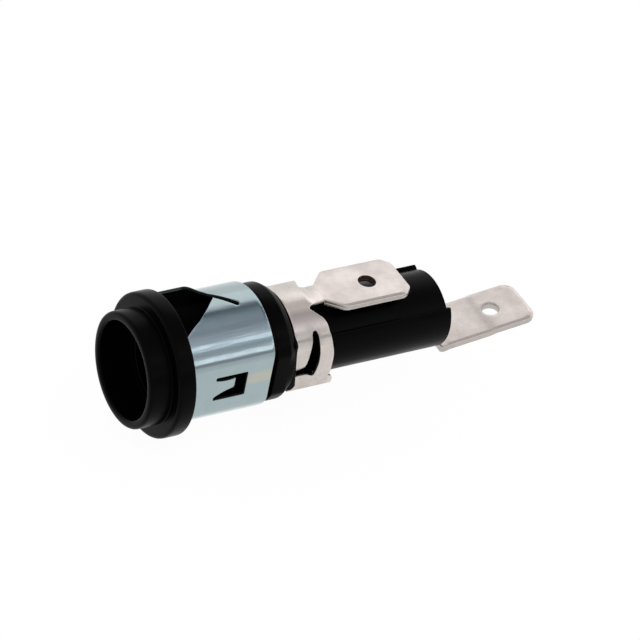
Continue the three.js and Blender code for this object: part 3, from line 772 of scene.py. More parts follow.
def lathe(name: str, corners: Sequence[Corner], finish: Finish, sides: int = 96) -> bpy.types.Object:
    """Turn a closed profile with rounded corners round the X axis.

    Args:
        name: The object's name.
        corners: Corners as (x, radius, round); the first and the last may lie on the axis.
        finish: Its finish.
        sides: Number of steps round the axis.

    Returns:
        The turned object.
    """
    profile = rounded(corners, closed=True)
    angles = np.arange(sides) / sides * 2 * math.pi
    return skin(name, [profile] * sides, angles, finish)


def rounded(corners: Sequence[Corner], closed: bool = True, steps: int = 4) -> np.ndarray:
    """Round the corners of a profile.

    Args:
        corners: Corners as (x, radius, round). A round of 0 keeps the corner sharp.
        closed: Whether the last corner joins the first.
        steps: Steps in each rounded corner.

    Returns:
        Points as rows of (x, radius), the same number for the same rounds, whatever the corners' places.
    """
    points: list[np.ndarray] = []
    count = len(corners)
    for i, (x, radius, size) in enumerate(corners):
        here = np.array([x, radius])
        if size <= 0 or (not closed and i in (0, count - 1)):
            points.append(here)
            continue
        before = np.array(corners[i - 1][:2]) - here
        after = np.array(corners[(i + 1) % count][:2]) - here
        reach_in, reach_out = np.linalg.norm(before), np.linalg.norm(after)
        if min(reach_in, reach_out) < TINY:
            points += [here] * (steps + 1)
            continue
        size = min(size, ROUND_LIMIT * reach_in, ROUND_LIMIT * reach_out)
        start, end = here + before / reach_in * size, here + after / reach_out * size
        for k in range(steps + 1):
            t = k / steps
            points.append((1 - t) ** 2 * start + 2 * t * (1 - t) * here + t * t * end)
    return np.asarray(points)


def skin(name: str, profiles: Sequence[np.ndarray], angles: np.ndarray, finish: Finish,
         crease: float = SMOOTH_CREASE) -> bpy.types.Object:
    """Join one closed profile per angle into a skin round the X axis.

    Args:
        name: The object's name.
        profiles: Rows of (x, radius) for each angle, all with as many points.
        angles: The angles, in radians.
        finish: The skin's finish.
        crease: Shading angle in degrees.

    Returns:
        The skin's object, with doubled points merged.
    """
    size = len(profiles[0])
    rings = [
        np.column_stack([p[:, 0], p[:, 1] * math.sin(a), p[:, 1] * math.cos(a)])
        for p, a in zip(profiles, angles)
    ]
    count = len(rings)
    faces = []
    for i in range(count):
        j = (i + 1) % count
        for k in range(size):
            n = (k + 1) % size
            faces.append([i * size + k, j * size + k, j * size + n, i * size + n])
    made = mesh_object(name, np.concatenate(rings), faces, [finish])
    shaped = bmesh.new()
    shaped.from_mesh(made.data)
    bmesh.ops.remove_doubles(shaped, verts=shaped.verts, dist=WELD * MM)
    bmesh.ops.dissolve_degenerate(shaped, edges=shaped.edges, dist=WELD * MM)
    bmesh.ops.recalc_face_normals(shaped, faces=shaped.faces)
    shaped.to_mesh(made.data)
    shaped.free()
    shade(made, crease)
    return made


@dataclass
class HolderBody:
    """The black moulding: nose, flange, front barrel, collar, waist, rear barrel and stepped bore."""

    mouth_face: float = -4.65
    nose_radius: float = 6.4
    flange_front: float = -2.05
    flange_radius: float = 7.95
    seat: DoubleFlat = field(default_factory=lambda: DoubleFlat(6.4, 5.421))
    collar: DoubleFlat = field(default_factory=lambda: DoubleFlat(6.45, 5.952))
    shoulder: DoubleFlat = field(default_factory=lambda: DoubleFlat(6.15, 5.35))
    waist: DoubleFlat = field(default_factory=lambda: DoubleFlat(5.1, 4.4))
    collar_front: float = 10.75
    waist_front: float = 13.1
    barrel_front: float = 16.7
    rear_wall: float = 33.1
    chamfer_length: float = 0.75
    chamfer_height: float = 0.5
    shoulder_length: float = 0.35
    shoulder_fade: tuple[float, float] = (2.9, 5.2)
    lip: DoubleFlat = field(default_factory=lambda: DoubleFlat(5.6, 4.88))
    lip_growth: tuple[float, float, float] = (2.2, -2.6, 0.58)
    lip_fade: tuple[float, float] = (2.5, 3.4)
    barrel_radius: float = 4.7
    top_radius: float = 4.85
    top_centre: tuple[float, float] = (-0.25, -1.0)
    top_half_angle: float = 58.0
    top_edge_round: float = 0.16
    flats_end: float = 18.75
    relief_from: float = 16.1
    relief_height: float = 4.4
    relief_least_cosine: float = 0.2
    skirt_length: float = 0.4
    skirt_wall: float = 0.75
    skirt_slot_half: float = 3.3
    end_rim: float = 0.4
    mouth_radius: float = 5.4
    mouth_floor: float = -0.65
    cap_bore_radius: float = 4.55
    cap_bore_floor: float = 12.4
    sleeve_bore_radius: float = 3.85
    sleeve_bore_floor: float = 15.9
    fuse_bore_radius: float = 2.95
    fuse_bore_floor: float = 32.1
    lip_from: float = 24.8
    lip_to: float = 25.2
    lip_radius: float = 2.7
    rivet_hole_radius: float = 1.15
    pocket_depth: float = 1.0
    pocket_margin: float = 0.4
    pocket_reach: float = 14.0
    tongue_margin: float = 0.15
    tongue_pocket: float = 0.6
    tongue_reach: float = 12.0
    finger_margins: tuple[float, float] = (0.85, 0.7)
    lug_size: tuple[float, float, float] = (1.2, 1.8, 1.0)
    lug_place: tuple[float, float] = (2.55, 4.4)
    lug_round: float = 0.12

    def skirt_middle(self) -> float:
        """Give the radius of the middle of the skirt's wall."""
        return self.barrel_radius - self.skirt_wall / 2

    def angles(self) -> np.ndarray:
        """Give the angles of the skin: even steps, with more where the section turns a corner."""
        even = list(np.arange(-180, 180, 2.0))
        extra: list[float] = []
        for step in (-0.25, 0.0, 0.35, 0.9, 1.5, 2.1):
            extra += [self.top_half_angle + step, -self.top_half_angle - step]
        slot = math.degrees(math.asin(self.skirt_slot_half / self.skirt_middle()))
        for step in (-0.6, -0.2, 0.2, 0.6):
            extra += [180 - slot + step, -180 + slot - step]
        for section in (self.seat, self.collar, self.shoulder, self.waist):
            corner = math.degrees(math.asin(section.flat / section.radius))
            for step in (-1.6, -0.8, 0, 0.8, 1.6):
                extra += [corner + step, -corner - step, 180 - corner - step, -180 + corner + step]
        chosen: list[float] = []
        for angle in sorted(extra):
            if not chosen or angle - chosen[-1] > 0.1:
                chosen.append(angle)
        chosen += [angle for angle in even if min(abs(angle - other) for other in chosen) > 0.7]
        return np.radians(sorted(chosen))

    def barrel(self, angle: float) -> float:
        """Give the rear barrel's radius at an angle in radians."""
        past = (abs(math.degrees(angle)) - self.top_half_angle) * math.radians(1) * self.barrel_radius
        if past < 0:
            y, z = self.top_centre
            along = y * math.sin(angle) + z * math.cos(angle)
            return along + math.sqrt(self.top_radius**2 - (y * y + z * z - along * along))
        fall = self.top_edge_round - min(past, self.top_edge_round)
        rounding = self.top_edge_round - math.sqrt(max(self.top_edge_round**2 - fall**2, 0.0))
        return self.barrel_radius - rounding

    def profile(self, angle: float) -> np.ndarray:
        """Give the closed profile at one angle.

        Args:
            angle: Angle round the axis, in radians.

        Returns:
            Rows of (x, radius).
        """
        seat, collar, waist = (float(s.reach(angle)) for s in (self.seat, self.collar, self.waist))
        cosine = math.cos(angle)
        shoulder = float(self.shoulder.reach(angle))
        shoulder = waist + (shoulder - waist) * (1 - float(smoothstep(abs(cosine) * shoulder,
                                                                      *self.shoulder_fade)))
        bevelled = min(collar, self.collar.radius - self.chamfer_height)
        relieved = min(waist, self.relief_height / cosine) if cosine > self.relief_least_cosine else waist
        barrel = self.barrel(angle)
        flat_barrel = min(barrel, self.waist.flat / max(abs(math.sin(angle)), TINY))
        top = abs(math.degrees(angle)) < self.top_half_angle
        slotted = cosine < 0 and abs(math.sin(angle)) * self.skirt_middle() < self.skirt_slot_half
        rear = self.rear_wall if top or slotted else self.rear_wall + self.skirt_length
        inner = self.barrel_radius - self.skirt_wall if rear > self.rear_wall else barrel - self.end_rim
        wall = self.waist_front + self.shoulder_length
        start, end, length = self.lip_growth
        height = cosine * shoulder
        lip = length * min(max((start - height) / (start - end), 0.0), 1.0) if math.sin(angle) < 0 else 0.0
        lip *= 1 - float(smoothstep(-height, *self.lip_fade))
        under = min(shoulder, float(self.lip.reach(angle)))
        return rounded([
            (self.mouth_face, self.nose_radius, 0.42),
            (self.flange_front, self.nose_radius, 0.12),
            (self.flange_front, self.flange_radius, 0.45),
            (0, self.flange_radius, 0.16),
            (0, seat, 0.06),
            (self.collar_front, seat, 0.05),
            (self.collar_front, collar, 0.14),
            (self.waist_front - self.chamfer_length, collar, 0.12),
            (self.waist_front, bevelled, 0.12),
            (self.waist_front, shoulder, 0.05),
            (wall + lip, shoulder, 0.08),
            (wall + lip, under, 0.03),
            (wall, under, 0.02),
            (wall, waist, 0.05),
            (self.relief_from, waist, 0),
            (self.relief_from, relieved, 0),
            (self.barrel_front, relieved, 0.06),
            (self.barrel_front, flat_barrel, 0.06),
            (self.flats_end, flat_barrel, 0),
            (self.flats_end, barrel, 0.05),
            (rear, barrel, 0.14),
            (rear, inner, 0.08),
            (self.rear_wall, inner, 0),
            (self.rear_wall, self.rivet_hole_radius, 0.06),
            (self.fuse_bore_floor, self.rivet_hole_radius, 0.05),
            (self.fuse_bore_floor, self.fuse_bore_radius, 0.1),
            (self.lip_to, self.fuse_bore_radius, 0),
            (self.lip_to, self.lip_radius, 0.08),
            (self.lip_from, self.lip_radius, 0.08),
            (self.lip_from, self.fuse_bore_radius, 0),
            (self.sleeve_bore_floor, self.fuse_bore_radius, 0.2),
            (self.sleeve_bore_floor, self.sleeve_bore_radius, 0.05),
            (self.cap_bore_floor, self.sleeve_bore_radius, 0.15),
            (self.cap_bore_floor, self.cap_bore_radius, 0.05),
            (self.mouth_floor, self.cap_bore_radius, 0.2),
            (self.mouth_floor, self.mouth_radius, 0.08),
            (self.mouth_face, self.mouth_radius, 0.32),
        ])

    def pocket(self, clip: MountingClip) -> bpy.types.Object:
        """Make the cutter of the room under the sleeve's notch and far wing; the faces it cuts are painted
        near black as painted shade.
        """
        margin, reach = self.pocket_margin, self.pocket_reach
        rear = clip.front + clip.notch_near[0][0] + margin
        near = [(clip.front + x, y - margin) for x, y in clip.notch_near]
        outline = [(0, reach), (rear, reach), (rear, near[0][1]), *near, (0, near[-1][1])]
        cutter = prism("pocket_cutter", outline, -reach, reach, SHADED_MOULDING)
        radius = self.seat.radius - self.pocket_depth
        sharp = [(-1.0, 0.0, 0.0), (-1.0, radius, 0.0), (rear + 1, radius, 0.0), (rear + 1, 0.0, 0.0)]
        cut(cutter, lathe("pocket_core", sharp, SHADED_MOULDING))
        return cutter

    def paint_bore_shade(self, body: bpy.types.Object) -> None:
        """Paint the deep bore, past the mouth, near black as painted shade."""
        body.data.materials.append(SHADED_MOULDING.material())
        margin, rear_margin, play = 0.1, 0.5, 0.02
        for face in body.data.polygons:
            x, y, z = face.center / MM
            within = self.mouth_floor + margin < x < self.rear_wall - rear_margin
            if within and math.hypot(y, z) < self.cap_bore_radius + play:
                outward = face.normal.y * y + face.normal.z * z
                if outward <= 0 and x < self.fuse_bore_floor + margin:
                    face.material_index = 1

    def box(self, name: str, low: Corner, high: Corner) -> bpy.types.Object:
        """Make a box cutter between two corners; the faces it cuts are painted near black as painted shade.
        """
        outline = [(low[0], low[1]), (high[0], low[1]), (high[0], high[1]), (low[0], high[1])]
        return prism(name, outline, low[2], high[2], SHADED_MOULDING)

    def lugs(self) -> list[bpy.types.Object]:
        """Make the two bayonet lugs in the cap bore, with rounded edges."""
        made = []
        for side in (1, -1):
            shaped = bmesh.new()
            bmesh.ops.create_cube(shaped, size=1.0)
            bmesh.ops.scale(shaped, vec=Vector(self.lug_size), verts=shaped.verts)
            bmesh.ops.bevel(shaped, geom=list(shaped.edges), offset=self.lug_round, segments=3, profile=0.5,
                            affect="EDGES")
            x, z = self.lug_place
            bmesh.ops.translate(shaped, vec=Vector((x, 0, side * z)), verts=shaped.verts)
            points = np.array([v.co for v in shaped.verts])
            faces = [[v.index for v in f.verts] for f in shaped.faces]
            shaped.free()
            made.append(mesh_object("bayonet_lug", points, faces, [MOULDING]))
        return made

    def build(self, clip: MountingClip, terminal: SideTerminal) -> bpy.types.Object:
        """Build the moulding.

        Args:
            clip: The sleeve, whose notch and tongue the moulding makes room for.
            terminal: The side terminal, whose finger the moulding lets in.

        Returns:
            The moulding's object.
        """
        angles = self.angles()
        body = skin("holder_moulding", [self.profile(float(a)) for a in angles], angles, MOULDING)
        # The bore and the faces cut by the pocket, tongue and finger cutters get painted shade: near-black,
        # dull moulding.
        self.paint_bore_shade(body)
        cut(body, self.pocket(clip))
        margin, floor = self.tongue_margin, self.seat.flat - self.tongue_pocket
        low, high = clip.window_front - margin, clip.window_front + clip.window_length + margin
        half = clip.window_half + margin
        cut(body, self.box("tongue_cutter", (low, -self.tongue_reach, -half), (high, -floor, half)))
        behind, below = self.finger_margins
        front, rear = terminal.front, terminal.front + terminal.finger_width + behind
        bottom = terminal.finger_tip - below
        cut(body, self.box("finger_cutter", (front, -self.lip.flat, bottom), (rear, 0, terminal.slot_top)))
        shade(body, SMOOTH_CREASE)
        body = joined("holder_moulding", [body, *self.lugs()])
        return settled(body, Body.HOUSING, "moulding", "holder_body")


@dataclass
class MountingClip:
    """Zinc-plated spring steel sleeve with two notches, a far wing and a locking tongue."""

    thickness: float = 0.35
    front: float = 0.3
    rear: float = 10.3
    section: DoubleFlat = field(default_factory=lambda: DoubleFlat(6.675, 5.696, 0.3, 0.2))
    wing_step: float = 0.55
    wing_front: float = 4.1
    wing_ramp: float = 0.9
    blend_angles: tuple[float, float] = (12.0, 22.0)
    notch_near: tuple[tuple[float, float], ...] = (
        (5.5, 1.19), (5.25, 0.75), (3.8, -0.7), (2.4, -1.87), (1.4, -2.47), (0.0, -3.45))
    notch_far: tuple[tuple[float, float], ...] = ((0.0, 5.25), (4.1, 5.1))
    slit_length: float = 3.1
    slit_width: float = 0.58
    window_front: float = 3.47
    window_length: float = 3.78
    window_half: float = 1.52
    window_corner: float = 0.08
    tongue_length: float = 2.7
    tongue_root: float = 1.15
    root_gap: float = 0.05
    tongue_tip: float = 0.68
    tongue_hollow: float = 0.16
    tongue_dip: float = 0.45
    seam: float = 0.03
    pitch: float = 0.25
    edge_round: float = 0.04

    def __post_init__(self) -> None:
        """Measure the path round the sleeve, from the middle of the near flat."""
        self.path = WrappedPath(self.section, -math.pi / 2, -1.5 * math.pi - 0.1, 0.5 * math.pi + 0.1)

    def stand_out(self, x: np.ndarray, y: np.ndarray, z: np.ndarray) -> np.ndarray:
        """Give how far the far wing stands out at points of the sleeve."""
        low, high = (math.radians(a) for a in self.blend_angles)
        share = smoothstep(np.arctan2(y, np.abs(z)), low, high)
        ramp = 1 - smoothstep(x, self.front + self.wing_front, self.front + self.wing_front + self.wing_ramp)
        return self.wing_step * share * ramp

    def pattern_point(self, x: float, y: float) -> tuple[float, float]:
        """Turn a point seen from above into pattern coordinates."""
        radius = self.section.radius
        angle = math.asin(y / radius)
        for _ in range(12):
            out = float(self.stand_out(np.array(x), np.array(radius * math.sin(angle)),
                                       np.array(radius * math.cos(angle))))
            angle = math.asin(max(-1.0, min(1.0, y / (radius + out))))
        return x, float(self.path.length(angle))

    def notch(self) -> list[tuple[float, float]]:
        """Give the upper notch's outline with its slit, from the far wing to the near side."""
        far = [(self.front + x, y) for x, y in self.notch_far]
        near = [(self.front + x, y) for x, y in self.notch_near]
        half = self.slit_width / 2
        along = np.array([1.0, -1.0]) / math.sqrt(2)
        across = np.array([along[1], -along[0]]) * half
        start = np.array([near[0][0] - half, near[0][1] + half])
        end = start + along * self.slit_length
        upper, lower = start - across, start + across
        share = (sum(far[-1]) - upper.sum()) / (sum(far[-1]) - sum(near[0]))
        enter = tuple(np.array(far[-1]) * (1 - share) + np.array(near[0]) * share)
        share = (lower.sum() - sum(near[1])) / (sum(near[0]) - sum(near[1]))
        leave = tuple(np.array(near[1]) * (1 - share) + np.array(near[0]) * share)
        turn = [tuple(end - across * math.cos(a) + along * half * math.sin(a))
                for a in np.linspace(0, math.pi, 7)]
        corners = [*far, enter, *turn, leave, *near[1:]]
        fine: list[tuple[float, float]] = []
        for a, b in zip(corners, corners[1:]):
            count = max(1, math.ceil(math.dist(a, b) / self.pitch))
            fine += [(a[0] + (b[0] - a[0]) * i / count, a[1] + (b[1] - a[1]) * i / count)
                     for i in range(count)]
        return [self.pattern_point(x, y) for x, y in [*fine, corners[-1]]]

    def loops(self) -> list[list[tuple[float, float]]]:
        """Give the sleeve's flat pattern: the outside with both notches, and the window round the tongue."""
        end = float(self.path.length(math.pi / 2)) - self.seam
        upper = self.notch()
        lower = [(x, -s) for x, s in reversed(upper)]
        outside = [(self.rear, -end), (self.rear, end), (self.front, end), *upper, *lower, (self.front, -end)]
        a, b = self.window_front, self.window_front + self.window_length
        tip, half = a + self.tongue_length, self.window_half
        corner, root = self.window_corner, self.tongue_root + self.root_gap
        side = [(a + t, self.tongue_half(t)) for t in self.tongue_length * np.linspace(0.04, 0.97, 9)]
        side.append((tip, self.tongue_tip - corner))
        window = [
            (a, half - corner), (a + corner, half), (b - corner, half), (b, half - corner),
            (b, -half + corner), (b - corner, -half), (a + corner, -half), (a, -half + corner),
            (a, -root), *[(x, -s) for x, s in side], *reversed(side), (a, root),
        ]
        return [outside, window]

    def tongue_half(self, along: np.ndarray | float) -> np.ndarray:
        """Give the tongue's half width at a length from its root; its sides are hollow."""
        share = np.clip(np.asarray(along, float) / self.tongue_length, 0, 1)
        straight = self.tongue_root + (self.tongue_tip - self.tongue_root) * share
        return straight - self.tongue_hollow * 4 * share * (1 - share)

    def place(self, points: np.ndarray) -> np.ndarray:
        """Bend the flat pattern round the barrel, with its wing and tongue."""
        x, s, w = points.T
        flat, normal = self.path.frame(s)
        y, z = flat.T
        out = self.stand_out(x, y, z)
        radial = flat / np.linalg.norm(flat, axis=1, keepdims=True)
        along = x - self.window_front
        inside = (np.abs(s) < self.tongue_half(along) + 0.15) & (along > 0)
        inside &= along < self.tongue_length + 0.1
        dip = np.where(inside, self.tongue_dip * np.clip(along / self.tongue_length, 0, 1), 0.0)
        bent = flat + radial * out[:, None] + normal * (w - dip)[:, None]
        return np.column_stack([x, bent])

    def build(self) -> bpy.types.Object:
        """Build the sleeve."""
        pattern = SheetPattern("mounting_sleeve", self.loops(), self.thickness, self.edge_round)
        made = pattern.build(self.place, [ZINC, SHADED_ZINC_EDGE, ZINC_SHADE, SHADED_ZINC_EDGE])
        return settled(made, Body.HOUSING, "zinc", "mounting_clip")


@dataclass
class Blade:
    """A quick-connect blade's end: two chamfered corners and a hole."""

    half_width: float = 3.175
    chamfer: float = 1.0
    corner: float = 0.25
    hole_radius: float = 0.95
    hole_setback: float = 4.3
    bevel_width: float = 0.4
    bevel_depth: float = 0.1

    def crease(self, root: float, x: float) -> list[tuple[float, float]]:
        """Give the line inside the edge where the coined bevel of a blade from root to x starts."""
        inset, half = self.bevel_width, self.half_width - self.bevel_width
        return [(root, -half), *self.end(x, inset), (root, half)]

    def press(self, x: np.ndarray, y: np.ndarray, root: float, end: float) -> np.ndarray:
        """Give how far the coined bevel lies below the blade's face.

        Args:
            x: Places along the blade.
            y: Places across it.
            root: Where the bevel starts.
            end: Where the blade ends.

        Returns:
            The bevel's depth.
        """
        side = self.half_width - np.abs(y)
        slant = (end - x + side - self.chamfer) / math.sqrt(2)
        edge = np.minimum(np.minimum(side, end - x), slant)
        depth = self.bevel_depth * (1 - np.clip(edge / self.bevel_width, 0, 1))
        return depth * smoothstep(x, root - 0.6, root)

    def end(self, x: float, inset: float = 0.0) -> list[tuple[float, float]]:
        """Give the free end's corners from the near side to the far side, with small rounds.

        Args:
            x: Where the blade ends.
            inset: How far the outline is drawn in.

        Returns:
            The corners.
        """
        half, c, r = self.half_width - inset, self.chamfer, self.corner
        x -= inset
        near = [(x - c - r, -half), (x - c + 0.6 * r, -half + 0.6 * r), (x - 0.6 * r, -half + c - 0.6 * r),
                (x, -half + c + r)]
        return near + [(u, -v) for u, v in reversed(near)]

    def hole(self, x: float, steps: int = 32) -> list[tuple[float, float]]:
        """Give the hole's outline for a blade that ends at x."""
        middle = x - self.hole_setback
        turns = [i / steps * 2 * math.pi for i in range(steps)]
        return [(middle + self.hole_radius * math.cos(a), self.hole_radius * math.sin(a)) for a in turns]


@dataclass
class SideTerminal:
    """Tin-plated terminal: band round the waist, contact finger, neck and folded blade."""

    thickness: float = 0.4
    front: float = 13.5
    rear: float = 18.0
    section: DoubleFlat = field(default_factory=lambda: DoubleFlat(5.35, 4.65, 0.3))
    seam_half: float = 1.2
    root: float = 16.2
    neck_far: float = 1.2
    neck_near: float = 1.45
    neck_step: float = 0.4
    neck_length: float = 1.8
    flare: float = 2.0
    drop_length: float = 0.6
    end: float = 28.8
    height: float = 5.25
    relief: tuple[tuple[float, float], ...] = (
        (0.0, -2.1), (0.72, -2.8), (1.11, -3.09), (1.44, -3.52), (1.55, -3.96), (1.58, -4.25))
    far_relief: tuple[tuple[float, float], ...] = ((1.6, 4.3), (1.45, 3.6), (1.15, 3.0), (0.75, 2.2),
                                                   (0.42, 1.35))
    flank: tuple[tuple[float, float], ...] = (
        (1.82, 2.5), (2.19, 1.37), (2.42, 0.5), (2.48, -0.3), (2.46, -1.58), (2.41, -2.18), (2.25, -2.62))
    ear: tuple[tuple[float, float], ...] = ((2.25, -2.62), (2.6, -2.7), (2.82, -3.0), (2.84, -3.4),
                                            (2.66, -3.7))
    finger_root: float = 2.5
    finger_tip: float = -1.45
    finger_dip: float = 0.45
    finger_width: float = 2.6
    slot_rear: tuple[tuple[float, float], ...] = (
        (1.6, -1.8), (1.98, -1.76), (2.4, -1.95), (2.84, -2.18), (3.13, -2.0), (3.42, -0.7), (3.42, 0.2),
        (3.32, 1.06), (2.96, 2.54), (2.83, 3.2))
    slot_front: tuple[tuple[float, float], ...] = (
        (2.12, 3.2), (2.09, 2.5), (2.18, 1.34), (2.21, -0.05), (2.15, -0.6), (2.01, -1.05), (1.59, -1.29),
        (0.68, -1.41))
    slot_top: float = 3.55
    blade: Blade = field(default_factory=Blade)

    def __post_init__(self) -> None:
        """Measure the path round the waist, from the top."""
        self.path = WrappedPath(self.section, 0.0, -math.pi, math.pi)

    def at_y(self, y: float, below: bool = False) -> float:
        """Give the arc length of a point of the round part by its y."""
        angle = math.asin(max(-1.0, min(1.0, y / self.section.radius)))
        if below:
            angle = math.copysign(math.pi, y) - angle
        return float(self.path.length(angle))

    def at_z(self, z: float, side: int = -1) -> float:
        """Give the arc length of a point of one side by its z; the near flank runs straight down."""
        if side < 0 and z < self.finger_tip:
            return self.at_z(self.finger_tip) + z - self.finger_tip
        angles = np.linspace(0, math.pi, 2001)
        heights = self.section.reach(angles) * np.cos(angles)
        angle = float(np.interp(-z, -heights, angles))
        return float(self.path.length(side * angle))

    def finger_slot(self) -> list[tuple[float, float]]:
        """Give the J-shaped slot's corners on the near side, from its lower mouth to its upper mouth."""
        rear = softened([(0.0, -1.82), *self.slot_rear])
        front = softened([*self.slot_front, (0.0, -1.43)])
        middle = (rear[-1][0] + front[0][0]) / 2
        top = [(middle + 0.2, self.slot_top - 0.06), (middle, self.slot_top),
               (middle - 0.2, self.slot_top - 0.06)]
        return [(self.front + x, self.at_z(z)) for x, z in [*rear, *top, *front]]

    def outline(self) -> list[tuple[float, float]]:
        """Give the flat pattern's outside: band, neck and upper layer of the blade."""
        base, flare = self.root + self.neck_step, self.root + self.neck_step + self.neck_length
        far_end = self.at_y(self.seam_half, below=True)
        flat_top = 2.65
        relief = [(self.root + x, self.at_y(y)) for x, y in softened(self.relief)]
        far_relief = [(self.root + x, self.at_y(y)) for x, y in softened(self.far_relief)]
        flank = [(self.root + x, self.at_z(z)) for x, z in softened([*self.flank])]
        ear = [(self.root + x, self.at_z(z)) for x, z in softened([*self.ear])]
        return [
            (self.front, ear[-1][1]), *reversed(ear), *reversed(flank[:-1]), *reversed(relief),
            (self.root + 0.1, -1.9), (base - 0.1, -1.78), (base + self.drop_length, -1.6),
            (flare, -self.neck_near),
            *self.flare_end(-1), *self.blade.end(self.end), *reversed(self.flare_end(1)),
            (flare, self.neck_far),
            (base + 0.3, self.neck_far),
            (base + 0.1, self.neck_far + 0.05), *reversed(far_relief),
            (self.rear, self.at_z(flat_top - 0.1, 1)),
            (self.rear, far_end), (self.front, far_end), *reversed(self.finger_slot()),
        ]

    def place(self, points: np.ndarray) -> np.ndarray:
        """Bend the flat pattern round the waist, drop the neck to the blade and press the finger in."""
        x, s, w = points.T
        flat, normal = self.path.frame(s)
        below = self.at_z(self.finger_tip) - s
        straight = (below > 0)[:, None]
        flank = np.column_stack([np.full(len(s), -self.section.flat), self.finger_tip - below])
        flat = np.where(straight, flank, flat)
        normal = np.where(straight, np.array([-1.0, 0.0]), normal)
        z_of = flat[:, 1]
        finger = (s < 0) & (x < self.front + self.finger_width) & (z_of < self.finger_root)
        finger &= z_of > self.finger_tip - 0.15
        share = np.clip((self.finger_root - z_of) / (self.finger_root - self.finger_tip), 0, 1)
        dip = np.where(finger, self.finger_dip * share, 0.0)
        bent = flat + normal * (w - dip)[:, None]
        neck = ((s > -1.95) & (s < self.neck_far + 0.08)) | ((x > self.rear + 0.2) & (np.abs(s) < 3.6))
        base = self.root + self.neck_step
        share = np.where(neck, smoothstep(x, base - 0.15, base + self.drop_length), 0.0)[:, None]
        pressed = np.where(neck & (w > 0), self.blade.press(x, s, self.blade_root(), self.end), 0.0)
        level = np.column_stack([s, self.height - self.thickness / 2 + w - pressed])
        return np.column_stack([x, bent * (1 - share) + level * share])

    def blade_root(self) -> float:
        """Give where the blade has its full width."""
        return self.root + self.neck_step + self.neck_length + self.flare

    def flare_end(self, side: int) -> list[tuple[float, float]]:
        """Give the rounded corner where the blade reaches its full width, on one side."""
        x, half = self.blade_root(), self.blade.half_width
        return [(x - 0.35, side * (half - 0.32)), (x - 0.12, side * (half - 0.13)),
                (x + 0.15, side * (half - 0.03)),
                (x + 0.5, side * half)]

    def lower_layer(self) -> SheetPattern:
        """Give the blade's folded lower layer."""
        flare = self.root + self.neck_step + self.neck_length
        outline = [
            (flare, -self.neck_near), *self.flare_end(-1), *self.blade.end(self.end),
            *reversed(self.flare_end(1)),
            (flare, self.neck_far),
        ]
        return SheetPattern("side_blade_fold", [outline, self.blade.hole(self.end)], self.thickness,
                            0.09, 0.5, 0.5,
                            [self.blade.crease(self.blade_root(), self.end)])

    def place_lower(self, points: np.ndarray) -> np.ndarray:
        """Put the lower layer under the upper one."""
        x, s, w = points.T
        pressed = np.where(w < 0, self.blade.press(x, s, self.blade_root(), self.end), 0.0)
        return np.column_stack([x, s, self.height - 1.5 * self.thickness + w + pressed])

    def build(self) -> bpy.types.Object:
        """Build the side terminal."""
        loops = [self.outline(), self.blade.hole(self.end)]
        creases = [self.blade.crease(self.blade_root(), self.end)]
        upper = SheetPattern("side_band", loops, self.thickness, 0.07, creases=creases)
        upper = upper.build(self.place, TIN_SHEET)
        lower = self.lower_layer().build(self.place_lower, TIN_SHEET)
        return settled(joined("side_terminal_tin", [upper, lower]), Body.HOUSING, "tin", "side_terminal")


